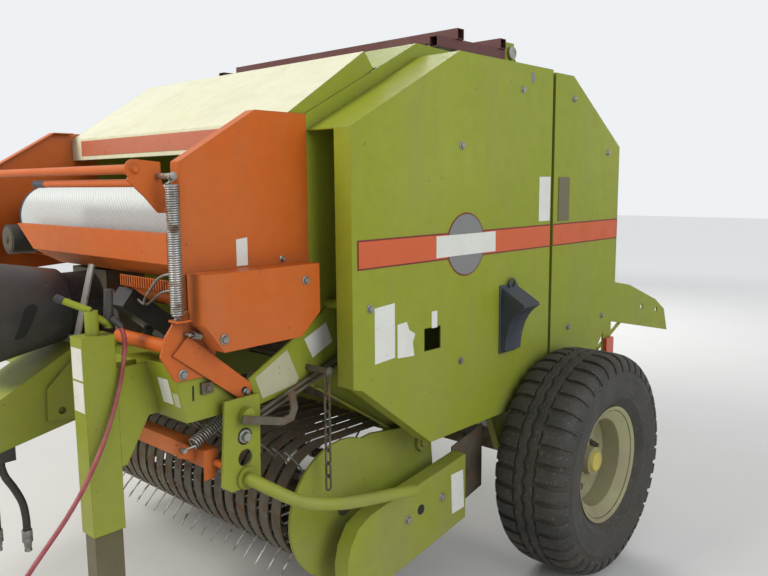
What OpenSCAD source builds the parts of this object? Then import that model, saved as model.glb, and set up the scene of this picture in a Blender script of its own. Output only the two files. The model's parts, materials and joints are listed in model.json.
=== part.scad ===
// Round baler, towed, parked on its jack.
// X runs to the machine's left, Y to the rear and Z up. The ground is at Z = 0.
// Places along Y are given from the axle, and the whole machine is then centred on its length.

/* [Wheels] */
// Outer diameter of the tyres
tyre_d = 840; // [760:10:900]
// Width of the tyres
tyre_w = 290; // [240:5:330]
// Diameter of the rim flange
rim_d = 430; // [380:5:480]
// Gap between the tyre and the side cover
wheel_gap = 8; // [6:1:60]
// Radius of the stub axles
stub_r = 30; // [25:1:36]
// Side of the square axle beam
axle_side = 90; // [70:2:120]
// Running clearance of shafts in their holes
run_gap = 0.1; // [0.05:0.05:0.3]

/* [Body] */
// Width inside the bale chamber
chamber_w = 1252; // [1000:4:1400]
// Thickness of the side walls
wall_t = 6; // [4:1:10]
// Depth of the side covers outside the walls
cover_depth = 180; // [120:5:240]
// Thickness of cover sheets
sheet_t = 4; // [3:0.5:6]
// Front edge of walls and covers, ahead of the axle
wall_front = 1083; // [1000:5:1150]
// Peak of the walls, ahead of the axle
wall_peak = 587; // [500:5:650]
// Height of the peak of the walls
wall_top = 1932; // [1900:5:2000]
// Height of the walls at their front edge
wall_brow = 1674; // [1600:5:1750]
// Height of the top edge of the side covers
cover_top = 1887; // [1840:5:1895]
// Height of the covers at their front edge
cover_brow = 1628; // [1580:5:1640]
// Height of the lower front corner of the covers
cover_chin = 887; // [850:5:950]
// Height of the bottom edge of the covers
cover_low = 640; // [600:5:700]
// Height of the bottom edge of the walls
wall_low = 560; // [520:5:600]
// Gap between the front part and the tailgate
split_gap = 20; // [12:1:30]

/* [Chamber rollers] */
// Radius of the circle that the roller centres lie on
roller_ring_r = 560; // [540:2:570]
// Diameter of the rollers
roller_d = 156; // [130:2:156]
// Centre of the chamber, ahead of the axle
chamber_y = 170; // [165:1:180]
// Height of the centre of the chamber
chamber_z = 1275; // [1270:1:1285]
// Number of ribs on a roller
roller_ribs = 8; // [5:1:10]

/* [Tailgate] */
// Rear edge of the tailgate covers, behind the axle
tail_len = 558; // [545:1:600]
// Height of the tailgate's rear shoulder
tail_brow = 1620; // [1560:5:1680]
// Height of the tailgate's lower rear corner
tail_chin = 937; // [900:5:1000]
// Height of the tailgate hinge
hinge_z = 1965; // [1955:1:1985]
// Radius of the hinge shaft
hinge_r = 16; // [12:1:20]
// Rear tip of the light arms, behind the axle
tail_reach = 1208; // [1150:2:1300]

/* [Net wrap] */
// Front edge of the net box, ahead of the axle
net_front = 1512; // [1490:2:1530]
// Height of the top of the net box
net_top = 1673; // [1640:1:1673]
// Radius of the net roll
net_r = 108; // [80:2:112]
// Net roll centre, ahead of the axle
net_y = 1372; // [1365:1:1380]
// Height of the centre of the net roll
net_z = 1366; // [1360:1:1372]
// Front panel of the net trough, ahead of the axle
trough_y = 1528; // [1520:1:1540]

/* [Front frame] */
// Front face of the cross box, ahead of the axle
cross_y = 1550; // [1540:2:1570]
// Height of the top of the cross box
cross_top = 1005; // [990:1:1010]
// Height of the cross box's section
cross_h = 145; // [120:5:150]
// Slope of the drawbar in degrees
drawbar_slope = 28; // [26:0.5:30]
// Width of the drawbar
drawbar_w = 200; // [150:5:220]
// Depth of the drawbar's beam
drawbar_h = 130; // [110:5:140]
// Front of the hitch eye, ahead of the axle
hitch_reach = 2620; // [2500:10:2700]
// Bore radius of the hitch eye
hitch_r = 25; // [20:1:28]
// Thickness of the hitch eye
hitch_t = 30; // [26:1:40]

/* [Jack] */
// Outer face of the jack post, to the left of the middle
jack_x = 500; // [480:2:500]
// Width of the jack post
jack_w = 64; // [60:1:76]
// Depth of the jack post
jack_d = 88; // [80:1:90]
// Wall of the jack post
jack_wall = 5; // [4:0.5:6]
// Height of the top of the jack post
jack_top = 1095; // [1080:5:1120]
// Height of the lower end of the jack post
jack_low = 570; // [520:5:600]
// Side of the jack's foot plate
foot_side = 170; // [140:5:200]

/* [Pickup] */
// Reel axis, ahead of the axle
reel_y = 990; // [980:2:1000]
// Height of the reel axis
reel_z = 462; // [450:2:480]
// Outer radius of the stripper bands
band_r = 196; // [180:2:200]
// Radius of the circle of the tine tips
tine_tip_r = 275; // [255:5:278]
// Pitch of the stripper bands
band_pitch = 60; // [56:1:62]
// Number of stripper bands
band_count = 20; // [14:2:20]
// Width of a stripper band
band_w = 42; // [24:1:46]
// Outer face of the pickup's side plates, from the middle
pickup_x = 668; // [666:1:690]
// Wire diameter of the tines
tine_d = 7; // [5:0.5:9]
// Number of tine bars
tine_bars = 4; // [3:1:5]
// Turn of the reel as it stands, in degrees
tine_phase = 40; // [0:5:85]

/* [Hidden] */

$fn = 48;

// Shift that centres the machine on its length
centre_y = (hitch_reach - tail_reach) / 2;

// Half widths
wall_in = chamber_w / 2;
wall_out = wall_in + wall_t;
cover_out = wall_out + cover_depth;
wheel_x = cover_out + wheel_gap + tyre_w / 2;
axle_z = tyre_d / 2;

// Colours
green = [0.55, 0.62, 0.20];
orange = [0.85, 0.36, 0.12];
cream = [0.93, 0.93, 0.78];
maroon = [0.38, 0.16, 0.20];
steel = [0.62, 0.62, 0.60];
dark = [0.14, 0.14, 0.14];
grime = [0.30, 0.29, 0.24];
rubber = [0.10, 0.10, 0.10];
red = [0.75, 0.15, 0.18];
white = [0.93, 0.94, 0.93];
rim_olive = [0.55, 0.55, 0.38];

// Places a piece that is drawn from the axle
module placed() {
  translate([0, centre_y, 0]) children();
}

// Repeats a piece on both sides
module both() {
  children();
  mirror([1, 0, 0]) children();
}

// Extrudes an outline of (y, z) points along X from x0 to x1
module slab(x0, x1, points) {
  translate([x0, 0, 0]) rotate([90, 0, 90]) linear_extrude(x1 - x0) polygon(points);
}

// Round bar along X
module bar_x(x0, x1, y, z, r) {
  translate([x0, y, z]) rotate([0, 90, 0]) cylinder(r = r, h = x1 - x0);
}

// Round bar between two points
module rod(a, b, r) {
  v = b - a;
  len_v = norm(v);
  translate(a)
    rotate([0, acos(v[2] / len_v), atan2(v[1], v[0])])
      cylinder(r = r, h = len_v);
}

// Coil spring with its wire eyes between two points, its turns drawn as ridges on a sleeve
module coil_between(a, b, r, wire, eye) {
  v = b - a;
  len_v = norm(v);
  coil_l = len_v - 2 * eye;
  turns = floor(coil_l / (wire * 1.3));
  step = coil_l / turns;
  ridge = r - wire * 0.7;
  translate(a) rotate([0, acos(v[2] / len_v), atan2(v[1], v[0])]) {
    rotate_extrude() polygon(concat(
      [[0, eye]],
      [for (i = [0 : turns - 1], q = [[ridge, 0.02], [r, 0.3], [r, 0.7], [ridge, 0.98]])
        [q[0], eye + (i + q[1]) * step]],
      [[0, eye + coil_l]]
    ));
    cylinder(d = wire, h = len_v);
  }
}

function unit(v) = v / norm(v);
function left_of(v) = [-v[1], v[0]];
function mitre(a, b, c, t) =
  let (n = left_of(unit(b - a)), m = unit(n + left_of(unit(c - b)))) b + m * t / (m * n);
// Offset of point i of an open path, on its left
function beside(p, i, t) =
  i == 0 ? p[0] + left_of(unit(p[1] - p[0])) * t
  : i == len(p) - 1 ? p[i] + left_of(unit(p[i] - p[i - 1])) * t
  : mitre(p[i - 1], p[i], p[i + 1], t);
// Outline of a folded sheet along an open path, with its thickness on the left
function sheet(p, t) = concat(p, [for (i = [len(p) - 1 : -1 : 0]) beside(p, i, t)]);
// Closed outline moved inwards, for points that run anticlockwise
function inset(p, t) =
  [for (i = [0 : len(p) - 1]) mitre(p[(i + len(p) - 1) % len(p)], p[i], p[(i + 1) % len(p)], t)];
// Height of the walls' top edge at y ahead of the axle
function wall_edge(y) =
  y > wall_peak
    ? wall_brow + (wall_front - y) * (wall_top - wall_brow) / (wall_front - wall_peak)
    : wall_top - (wall_peak - y) * wall_fall;
wall_fall = 0.03;

// Frame

end_box_in = 500;
cross_low = cross_top - cross_h;
cross_d = 130;
rail_y = 1296;
rail_h = 79;
axle_plate = 32;
stub_end = 40;
belly_y = 70;
belly_side = 50;
gusset_t = 6;
gusset_low = 740;

module chassis_frame() {
  color(green) placed() {
    translate([-end_box_in, -cross_y, cross_low]) cube([2 * end_box_in, cross_d, cross_h]);
    both() slab(end_box_in, wall_out, [
      [-cross_y - 3, cross_top + 11], [-cross_y + 32, cross_low - 4],
      [-rail_y, cross_low - 4], [-rail_y - 25, cross_low + rail_h - 4], [-cross_y + 60, cross_top + 11]
    ]);
    for (x = [jack_x - gusset_t, jack_x - jack_w]) slab(x, x + gusset_t, [
      [-post_y, cross_top], [-post_y, gusset_low], [-post_y + 15, gusset_low], [-cross_y, cross_low],
      [-cross_y, cross_top]
    ]);
    translate([-wall_in, -belly_y, wall_low]) cube([2 * wall_in, belly_side, belly_side]);
    both() slab(wall_in - axle_plate, wall_in, [
      [-axle_side * 1.6, wall_low + 30], [-axle_side / 2, axle_z - axle_side / 2],
      [axle_side / 2, axle_z - axle_side / 2], [axle_side / 2, axle_z + axle_side / 2],
      [axle_side * 0.4, wall_low - 12], [-belly_y + belly_side, wall_low], [-belly_y, wall_low + belly_side]
    ]);
  }
}

module axle_beam() {
  beam_x = cover_out - 32;
  color(grime) placed() {
    for (s = [[-beam_x, -wall_in], [-wall_in + axle_plate, wall_in - axle_plate], [wall_in, beam_x]])
      translate([s[0], -axle_side / 2, axle_z - axle_side / 2]) cube([s[1] - s[0], axle_side, axle_side]);
    both() bar_x(beam_x, wheel_x + stub_end, 0, axle_z, stub_r);
  }
}

// Drawbar: its top runs down at the slope from the cross box, and its foot is deep at the frame
drawbar_tip = hitch_reach - 190;
taper_y = 1790;
function bar_top(y) = cross_top - 8 - (y - cross_y) * tan(drawbar_slope);
function bar_low(y) = bar_top(y) - drawbar_h / cos(drawbar_slope);
// Underside of the drawbar with its deep foot
function bar_under(y) =
  y > taper_y ? bar_low(y)
  : bar_low(taper_y) + (taper_y - y) * (cross_low - foot_drop - bar_low(taper_y)) / (taper_y - cross_y);
foot_drop = 90;

module drawbar() {
  color(green) placed() {
    slab(-drawbar_w / 2, drawbar_w / 2, [
      [-cross_y, bar_top(cross_y)], [-drawbar_tip, bar_top(drawbar_tip)],
      [-drawbar_tip, bar_low(drawbar_tip)], [-taper_y, bar_low(taper_y)], [-cross_y, cross_low - foot_drop],
      [-cross_y + cross_d, cross_low], [-cross_y, cross_low]
    ]);
    both() difference() {
      slab(drawbar_w / 2, drawbar_w / 2 + 10, [
        [-cross_y, cross_top - 28], [-cross_y - 102, cross_top - 124],
        [-cross_y - 106, cross_low - 76], [-cross_y, cross_low - foot_drop]
      ]);
      bar_x(drawbar_w / 2 - 1, drawbar_w / 2 + 11, -cross_y - 62, cross_low - 52, 11);
    }
  }
}

hitch_ring = 34;
hitch_z = bar_low(drawbar_tip) + 52;
hitch_y = hitch_reach - hitch_r - hitch_ring;

module hitch_eye() {
  color(grime) placed() difference() {
    union() {
      translate([0, -hitch_y, hitch_z - hitch_t / 2]) cylinder(r = hitch_r + hitch_ring, h = hitch_t);
      translate([-40, -hitch_y, hitch_z - hitch_t / 2]) cube([80, hitch_y - drawbar_tip - 20, hitch_t]);
      translate([-70, -drawbar_tip - 20, bar_low(drawbar_tip)]) cube([140, 20, 110]);
    }
    translate([0, -hitch_y, hitch_z - hitch_t]) cylinder(r = hitch_r, h = 2 * hitch_t);
  }
}

// Jack: a square post on the cross box, with a leg that slides in it

post_y = cross_y + 85;
leg_gap = 0.4;
leg_top = jack_low + 150;
foot_t = 12;

module jack_post() {
  color(green) placed() difference() {
    translate([jack_x - jack_w, -post_y - jack_d, jack_low]) cube([jack_w, jack_d, jack_top - jack_low]);
    translate([jack_x - jack_w + jack_wall, -post_y - jack_d + jack_wall, jack_low - 1])
      cube([jack_w - 2 * jack_wall, jack_d - 2 * jack_wall, jack_top - jack_low - jack_wall]);
  }
}

// The crank's arms start on a stub, and its grip stands at the rear
crank_h = 62;
crank_r = 10;
grip_y = 50;
module jack_crank() {
  mid = [jack_x - jack_w / 2, -post_y - jack_d / 2, jack_top];
  color(green) placed() {
    translate(mid) cylinder(r = 17, h = crank_h);
    rod(mid + [0, 0, crank_h], mid + [-60, -60, crank_h + 34], 9);
    rod(mid + [0, 0, crank_h - 10], mid + [0, grip_y - 4, 22], crank_r);
    rod(mid + [0, grip_y - 6, 12], mid + [0, grip_y, 110], crank_r);
  }
}

module jack_leg() {
  inset_x = jack_wall + leg_gap;
  color(green) placed() {
    translate([jack_x - jack_w + inset_x, -post_y - jack_d + inset_x, foot_t])
      cube([jack_w - 2 * inset_x, jack_d - 2 * inset_x, leg_top - foot_t]);
    translate([jack_x - jack_w / 2 - foot_side / 2, -post_y - jack_d / 2 - foot_side / 2, 0])
      cube([foot_side, foot_side, foot_t]);
  }
}

// Walls, covers and roof

wall_back = split_gap / 2 + 5;
wall_outline = [
  [-wall_front, wall_brow], [-wall_front, cover_chin - 20], [-wall_front + 480, wall_low],
  [-wall_back, wall_low], [-wall_back, wall_edge(wall_back)], [-wall_peak, wall_top]
];
lug_r = 26;
hinge_y = 27;
lug_front = hinge_y + 37;
lug_back = hinge_y - 24;
lug_rise = 38;
rail_w = 20;

module wall() {
  difference() {
    union() {
      slab(wall_in, wall_out, wall_outline);
      slab(wall_in, wall_out, [
        [-lug_front, wall_edge(lug_front) - 5], [-wall_back, wall_edge(wall_back) - 5],
        [-lug_back, hinge_z - 35], [-lug_back, hinge_z + lug_rise], [-lug_front, hinge_z + lug_rise]
      ]);
      bar_x(wall_in, wall_out + 8, -pivot_y, pivot_z, pivot_r + 16);
      bar_x(wall_out, pickup_x + 20, -pivot_y, pivot_z, pivot_r);
      slab(wall_out, wall_out + rail_w, sheet([
        [-wall_back, wall_low], [-wall_front + 480, wall_low], [-wall_front + 10, cover_chin - 26]
      ], -sheet_t));
    }
    bar_x(wall_in - 1, wall_out + 1, -hinge_y, hinge_z, hinge_r + run_gap);
  }
}
module wall_left() { color(green) placed() wall(); }
module wall_right() { color(green) placed() mirror([1, 0, 0]) wall(); }

// Outlines of the covers run anticlockwise
cover_outline = [
  [-wall_front, cover_chin], [-wall_front + 38, cover_chin - 12], [-734, cover_low],
  [-split_gap / 2, cover_low], [-split_gap / 2, cover_top], [-wall_peak, cover_top],
  [-wall_front, cover_brow]
];
tail_outline = [
  [split_gap / 2, cover_low], [tail_len - 262, cover_low], [tail_len - 49, tail_chin - 54],
  [tail_len, tail_chin], [tail_len, tail_brow], [144, cover_top - 8], [split_gap / 2, cover_top - 8]
];
flange = 65;
post_r = 14;
cover_posts = [[-575, 1592], [-217, 1797], [-1012, 1113], [-574, 882]];
tail_posts = [[149, 1793], [448, 1594], [439, 900], [146, 893]];

// Pressed cover: a skin with a rim, deeper along the top, and posts to the wall
module cover(outline, deep_from, deep_to, posts) {
  slab(cover_out - sheet_t, cover_out, outline);
  translate([cover_out - flange, 0, 0]) rotate([90, 0, 90]) linear_extrude(flange) difference() {
    polygon(outline);
    polygon(inset(outline, sheet_t));
  }
  slab(wall_out, cover_out, sheet([for (i = [deep_from : deep_to]) outline[i]], sheet_t));
  for (p = posts) bar_x(wall_out, cover_out - sheet_t, p[0], p[1], post_r);
}
module front_cover() {
  difference() {
    cover(cover_outline, 4, 6, cover_posts);
    translate([cover_out - sheet_t - 1, -765, 945]) cube([sheet_t + 2, 83, 73]);
  }
}
module cover_left() { color(green) placed() front_cover(); }
module cover_right() { color(green) placed() mirror([1, 0, 0]) front_cover(); }
// The rear rim of each tail cover has a slot for the light arm
module tail_covers() {
  color(green) placed() both() difference() {
    cover(tail_outline, 4, 6, tail_posts);
    translate([arm_x - arm_slot, arm_root - 2, tail_chin - 90])
      cube([arm_t + 2 * arm_slot, tail_len - arm_root + 4, arm_top - tail_chin + 92]);
  }
}

hood_front = 1182;
hood_back = 832;
hood_low = wall_top - 362;
hood_brow = wall_top - 282;
hood_top = wall_top - 54;

module roof_sheet() {
  color(green) placed() slab(-wall_in, wall_in, sheet([
    [-wall_back, wall_edge(wall_back)], [-wall_peak, wall_top],
    [-hood_back + 60, wall_edge(hood_back - 60)]
  ], sheet_t));
}

module hood() {
  rear = [-hood_back + 40, wall_edge(hood_back - 40) + 4];
  color(cream) placed() {
    slab(-wall_in, wall_in, sheet([
      rear, [-hood_back, hood_top], [-hood_front, hood_brow], [-hood_front, hood_low]
    ], sheet_t));
    both() slab(wall_in - sheet_t, wall_in, [
      rear, [-hood_back, hood_top], [-hood_front, hood_brow], [-hood_front, hood_low + 20],
      [-wall_front, hood_low + 60]
    ]);
  }
}

// Rollers of the bale chamber

front_angles = [84, 108, 132, 156, 180, 204, 252, 276];
rear_angles = [-60, -36, -12, 12, 36, 60];
rib_h = 9;
rib_w = 12;
bearing_t = 10;
roller_wall = 5;
web_t = 12;

module roller(angle) {
  y = -chamber_y + roller_ring_r * cos(angle);
  z = chamber_z + roller_ring_r * sin(angle);
  face = wall_in - bearing_t;
  end = face - 6;
  shell_r = roller_d / 2 - rib_h;
  translate([-end, y, z]) rotate([90, 0, 90]) {
    linear_extrude(2 * end) {
      difference() {
        circle(r = shell_r);
        circle(r = shell_r - roller_wall);
      }
      for (i = [0 : roller_ribs - 1]) rotate(i * 360 / roller_ribs + angle)
        translate([shell_r - roller_wall / 2, -rib_w / 2]) square([rib_h + roller_wall / 2, rib_w]);
    }
    for (x = [0, 2 * end - web_t]) translate([0, 0, x]) linear_extrude(web_t)
      for (k = [0 : 2]) rotate(k * 120) translate([0, -12]) square([shell_r - roller_wall / 2, 24]);
  }
  bar_x(-face, face, y, z, 24);
  bar_x(-wall_in, -face, y, z, 52);
  bar_x(face, wall_in, y, z, 52);
}
module front_rollers() { color(grime) placed() for (a = front_angles) roller(a); }
module rear_rollers() { color(grime) placed() for (a = rear_angles) roller(a); }

// Tailgate

tail_wall = [
  [split_gap / 2, cover_low], [tail_len - 262, cover_low + 6], [tail_len - 60, tail_chin - 50],
  [tail_len - 12, tail_chin], [tail_len - 12, tail_brow - 2], [144, cover_top + 14],
  [split_gap / 2, cover_top + 20]
];

module tail_shell() {
  lug_x0 = wall_in - 12;
  lug_x1 = wall_in - 1;
  color(green) placed() difference() {
    union() {
      both() slab(wall_in, wall_out, tail_wall);
      slab(-wall_in, wall_in, sheet([for (i = [1 : 6]) tail_wall[i]], sheet_t));
      both() {
        slab(lug_x0, lug_x1, [
          [split_gap / 2 + 60, cover_top + 12], [split_gap / 2 + 60, cover_top - 40],
          [split_gap / 2, cover_top - 40], [split_gap / 2, hinge_z - lug_r * 0.8],
          [-hinge_y - 5, hinge_z - lug_r + 1], [-hinge_y, hinge_z + lug_r - 1]
        ]);
        bar_x(lug_x0, lug_x1, -hinge_y, hinge_z, lug_r);
        translate([lug_x0, split_gap / 2, cover_top - 40]) cube([wall_in - lug_x0, 50, 40]);
      }
    }
    both() bar_x(lug_x0 - 1, lug_x1 + 1, -hinge_y, hinge_z, hinge_r + run_gap);
  }
}

module hinge_shaft() {
  color(steel) placed() {
    bar_x(-wall_out - 12, wall_out + 12, -hinge_y, hinge_z, hinge_r);
    both() bar_x(wall_out, wall_out + 12, -hinge_y, hinge_z, hinge_r + 8);
  }
}

arm_x = cover_out - 28;
arm_t = 8;
arm_slot = 3;
arm_root = 500;
arm_top = 1045;
arm_hole_r = 14;
arm_holes = [[tail_reach - 313, 879], [tail_reach - 143, 843]];

module light_arms() {
  color(green) placed() both() {
    difference() {
      slab(arm_x, arm_x + arm_t, [
        [arm_root, arm_top], [arm_root, lamp_z - 4], [lamp_y + lamp_l, lamp_z - 4], [lamp_y + lamp_l, 852],
        [tail_reach, 721], [tail_reach - 48, 836], [tail_reach - 160, 898], [750, 1000]
      ]);
      for (h = arm_holes) bar_x(arm_x - 1, arm_x + arm_t + 1, h[0], h[1], arm_hole_r);
    }
    translate([wall_out, arm_root, tail_chin - 7]) cube([arm_x - wall_out, 35, 80]);
    rod([arm_x - 4, 690, 835], [arm_x - 4, 470, 742], 8);
  }
}

lamp_y = 502;
lamp_z = 708;
lamp_l = 72;
lamp_h = 78;
module tail_lamps() {
  color(red) placed() both()
    translate([arm_x + arm_t, lamp_y, lamp_z]) cube([cover_out - arm_x - arm_t - 2, lamp_l - 6, lamp_h]);
}

// Frame on the roof: a tube along each wall on packers, and two tubes across on top of them
tube_side = 37;
tube_wall = 3;
frame_low = wall_top + 5;
frame_front = 475;
frame_rows = [355, 89];
frame_over = 8;

// Square tube along X, or along Y from y0 to y1
module tube_across(x, y, z) {
  s = tube_side;
  w = tube_wall;
  slab(-x, x, [[y - s / 2, z], [y + s / 2, z], [y + s / 2, z + w], [y - s / 2, z + w]]);
  slab(-x, x, [[y - s / 2, z + s - w], [y + s / 2, z + s - w], [y + s / 2, z + s], [y - s / 2, z + s]]);
  slab(-x, x, [[y - s / 2, z], [y - s / 2 + w, z], [y - s / 2 + w, z + s], [y - s / 2, z + s]]);
  slab(-x, x, [[y + s / 2 - w, z], [y + s / 2, z], [y + s / 2, z + s], [y + s / 2 - w, z + s]]);
}
module tube_along(x, y0, y1, z) {
  s = tube_side;
  w = tube_wall;
  difference() {
    translate([x, y0, z]) cube([s, y1 - y0, s]);
    translate([x + w, y0 - 1, z + w]) cube([s - 2 * w, y1 - y0 + 2, s - 2 * w]);
  }
}
module top_frame() {
  color(maroon) placed() {
    for (y = frame_rows) {
      tube_across(wall_out + frame_over, -y, frame_low + tube_side - 1);
      both() slab(wall_in, wall_out, [
        [-y - tube_side / 2, wall_edge(y + tube_side / 2)], [-y + tube_side / 2, wall_edge(y - tube_side / 2)],
        [-y + tube_side / 2, frame_low + 1], [-y - tube_side / 2, frame_low + 1]
      ]);
    }
    both() tube_along(wall_out - tube_side, -frame_front, -lug_front, frame_low);
  }
}

// Net wrap device

net_slope = 1266;
net_outline = [
  [-wall_front, net_top], [-net_slope, net_top], [-net_front + 4, 1531], [-net_front - 4, 1155],
  [-1117, 1180], [-wall_front, 1240]
];
socket_r = 26;
socket_l = 14;
net_shaft_r = 12;

module net_sides() {
  color(orange) placed() both() difference() {
    union() {
      slab(wall_in, wall_out, net_outline);
      slab(wall_out - flange_w, wall_in, sheet([
        [-net_front - 4, 1155], [-net_front + 4, 1531], [-net_slope, net_top], [-hood_front - 8, net_top]
      ], -sheet_t));
      bar_x(wall_in - socket_l, wall_in, -net_y, net_z, socket_r);
    }
    bar_x(wall_in - socket_l - 1, wall_in, -net_y, net_z, net_shaft_r + run_gap);
  }
}

flange_w = 40;
trough_half = wall_out - flange_w - 1;

// The trough ends early at the right, with a slanted cut
trough_far = 333;
trough_cut = 217;
trough_lip = 1350;
trough_floor = 1226;
module net_trough() {
  color(orange) placed() {
    difference() {
      slab(-trough_far, trough_half, sheet([
        [-trough_y + 22, trough_lip], [-trough_y, trough_lip], [-trough_y, 1270], [-1470, trough_floor]
      ], sheet_t));
      translate([0, -trough_y + 70, 0]) rotate([90, 0, 0]) linear_extrude(80) polygon([
        [-trough_far - 1, trough_lip + 1], [-trough_far, trough_lip + 1], [-trough_far + trough_cut, 1200],
        [-trough_far - 1, 1200]
      ]);
    }
    slab(-trough_far + trough_cut, wall_in, sheet([
      [-1500, 1248.7], [-1470, trough_floor], [-1400, trough_floor]
    ], sheet_t));
    slab(-wall_in, wall_in, sheet([[-1400, trough_floor], [-1290, trough_floor], [-1225, 1290]], sheet_t));
  }
}

// Tubes ahead of the net, on an arm plate at each side
bar_y = 1608;
top_bar_z = 1512;
low_bar_y = 1598;
low_bar_z = 1478;
arm_in = wall_out - flange_w - 6;

module net_bars() {
  color(orange) placed() {
    bar_x(-arm_in, arm_in, -bar_y, top_bar_z, 12);
    bar_x(40, arm_in, -low_bar_y, low_bar_z, 10);
    both() {
      slab(arm_in, arm_in + 6, [
        [-bar_y + 4, 1536], [-bar_y - 20, 1485], [-1582, 1443], [-1547, 1403], [-1500, 1402], [-1500, 1455],
        [-1524, 1458], [-1536, 1488], [-1536, 1530]
      ]);
      bar_x(arm_in, arm_in + 6, -bar_y, top_bar_z, 24);
    }
  }
}

// Springs of the net brake, hung on a rod from each arm plate
net_rod_y = 1546;
net_rod_z = 1495;
net_rod_r = 7;
spring_x = wall_out + 23;
ear_z = 1130;
module net_springs() {
  color(steel) placed() both() {
    bar_x(arm_in + 6, spring_x + 12, -net_rod_y, net_rod_z, net_rod_r);
    coil_between(
      [spring_x, -net_rod_y, net_rod_z - net_rod_r + 1], [spring_x, -net_rod_y, ear_z + 6], 17, 5, 12);
  }
}

plate_t = 8;
module net_levers() {
  color(orange) placed() both() {
    slab(wall_out, wall_out + plate_t, [
      [-1507, 1155], [-1538, 1139], [-1573, 1094], [-1589, 1044], [-1550, 974], [-1464, 972],
      [-1420, 1040], [-1455, 1120]
    ]);
    slab(wall_out + plate_t, wall_out + 2 * plate_t, [
      [-1513, 1090], [-1560, 1045], [-1366, 896], [-1334, 888], [-1317, 908], [-1323, 930]
    ]);
    translate([wall_out, -1558, ear_z]) cube([spring_x + 16 - wall_out, 42, 6]);
    slab(wall_out - 6, wall_out, [[-1548, ear_z - 6], [-1524, ear_z - 6], [-1524, 1040], [-1548, 1040]]);
  }
  color(orange) placed() both() bar_x(360, wall_out - 6, -cross_y + 2, 1060, 19);
}

roll_far = 428;
module net_roll() {
  color(white) placed() {
    bar_x(-roll_far, wall_in - 22, -net_y, net_z, net_r);
    bar_x(-wall_in + 0.3, wall_in - 0.3, -net_y, net_z, net_shaft_r);
  }
}

// Drum past the right end of the net roll, on an arm from the side plate
drum_x = 493;
drum_y = 1500;
drum_z = 1286;
drum_r = 52;
drum_l = 90;
module brake_disc() {
  color(dark) placed() {
    translate([-drum_x, -drum_y, drum_z]) rotate([-90, 0, 0]) cylinder(r = drum_r, h = drum_l);
    bar_x(-wall_in, -drum_x - drum_r + 10, -drum_y + drum_l / 2, drum_z, 14);
  }
}

guard_w = 75;
module guard_box() {
  outline = [
    [-1505, 1250], [-1505, 1120], [-1450, 1045], [-1190, 1047], [-1117, 1110], [-1117, 1250]
  ];
  x0 = wall_out + plate_t;
  color(orange) placed() difference() {
    slab(x0, x0 + guard_w, outline);
    slab(x0 - 1, x0 + guard_w - sheet_t, inset(outline, sheet_t));
  }
}

// Side pieces of the front frame

module diagonal_plates() {
  color(green) placed() both() {
    slab(wall_out, wall_out + plate_t, [
      [-1321, 935], [-rail_y, cross_low - 4], [-1128, 877], [-1040, 911], [-1040, 1090]
    ]);
  }
}

bracket_x = 660;
hole_y = 1362;
hole_r = 24;
hole_heights = [790, 729, 672];
tube_x = 676;
module bracket_plates() {
  color(green) placed() both() {
    difference() {
      slab(bracket_x, bracket_x + plate_t, [
        [-1424, 900], [-1440, 664], [-1410, 643], [-1385, 643], [-1312, 657], [-1306, 900]
      ]);
      for (z = hole_heights) bar_x(bracket_x - 1, bracket_x + plate_t + 1, -hole_y, z, hole_r);
    }
    slab(wall_out, bracket_x, [[-1410, 862], [-1322, 862], [-1322, 880], [-1410, 880]]);
    bar_x(bracket_x + plate_t, bracket_x + plate_t + 24, -hole_y, 853, 20);
    bar_x(bracket_x + plate_t, tube_x, -hole_y, hole_heights[2], hole_r + 8);
  }
}

// Bent tube that guards the side of the pickup
tube_r = 18;
tube_path = [
  [tube_x, -hole_y, hole_heights[2]], [tube_x + 24, -hole_y, hole_heights[2]], [742, -1338, 652],
  [790, -1270, 607], [828, -1180, 582], [848, -1080, 566], [856, -960, 549], [862, -872, 534]
];
module guard_tubes() {
  color(green) placed() both() {
    swept(tube_path, 2 * tube_r, 3, 12);
  }
}

crop_y = 1462;
crop_z = 715;
module crop_bar() {
  color(orange) placed() {
    slab(-620, 620, [
      [-crop_y, crop_z], [-crop_y + 5, crop_z], [-crop_y + 5, crop_z + 42], [-crop_y + 45, crop_z + 42],
      [-crop_y + 45, crop_z + 47], [-crop_y, crop_z + 47]
    ]);
    both() {
      slab(614, 620, [
        [-crop_y, crop_z - 36], [-crop_y + 30, crop_z - 36], [-crop_y + 45, crop_z],
        [-crop_y + 45, crop_z + 42], [-crop_y, crop_z + 42]
      ]);
      bar_x(620, bracket_x, -crop_y + 33, crop_z + 8, 10);
      slab(566, 574, [
        [-crop_y, crop_z + 12], [-crop_y - 50, crop_z + 30], [-crop_y - 54, crop_z + 65],
        [-crop_y - 34, crop_z + 65], [-crop_y, crop_z + 47]
      ]);
    }
  }
}

module pickup_springs() {
  low = [592, -crop_y - 43, crop_z + 53];
  high = [592, -1345, cross_low - 18];
  color(steel) placed() both() {
    coil_between(low, high, 17, 5, 26);
    for (p = [low, high]) bar_x(574, 596, p[1], p[2], 6);
    slab(566, 574, [
      [-1360, cross_low - 34], [-1330, cross_low - 34], [-1330, cross_low - 4], [-1360, cross_low - 4]
    ]);
  }
}

// Hooked lever on the bracket's boss
module lift_hooks() {
  x0 = bracket_x + plate_t + 24;
  color(grime) placed() both() slab(x0, x0 + 8, sheet([
    [-hole_y - 30, 838], [-1250, 800], [-1212, 806], [-1196, 840], [-1206, 892]
  ], 22));
}

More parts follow.
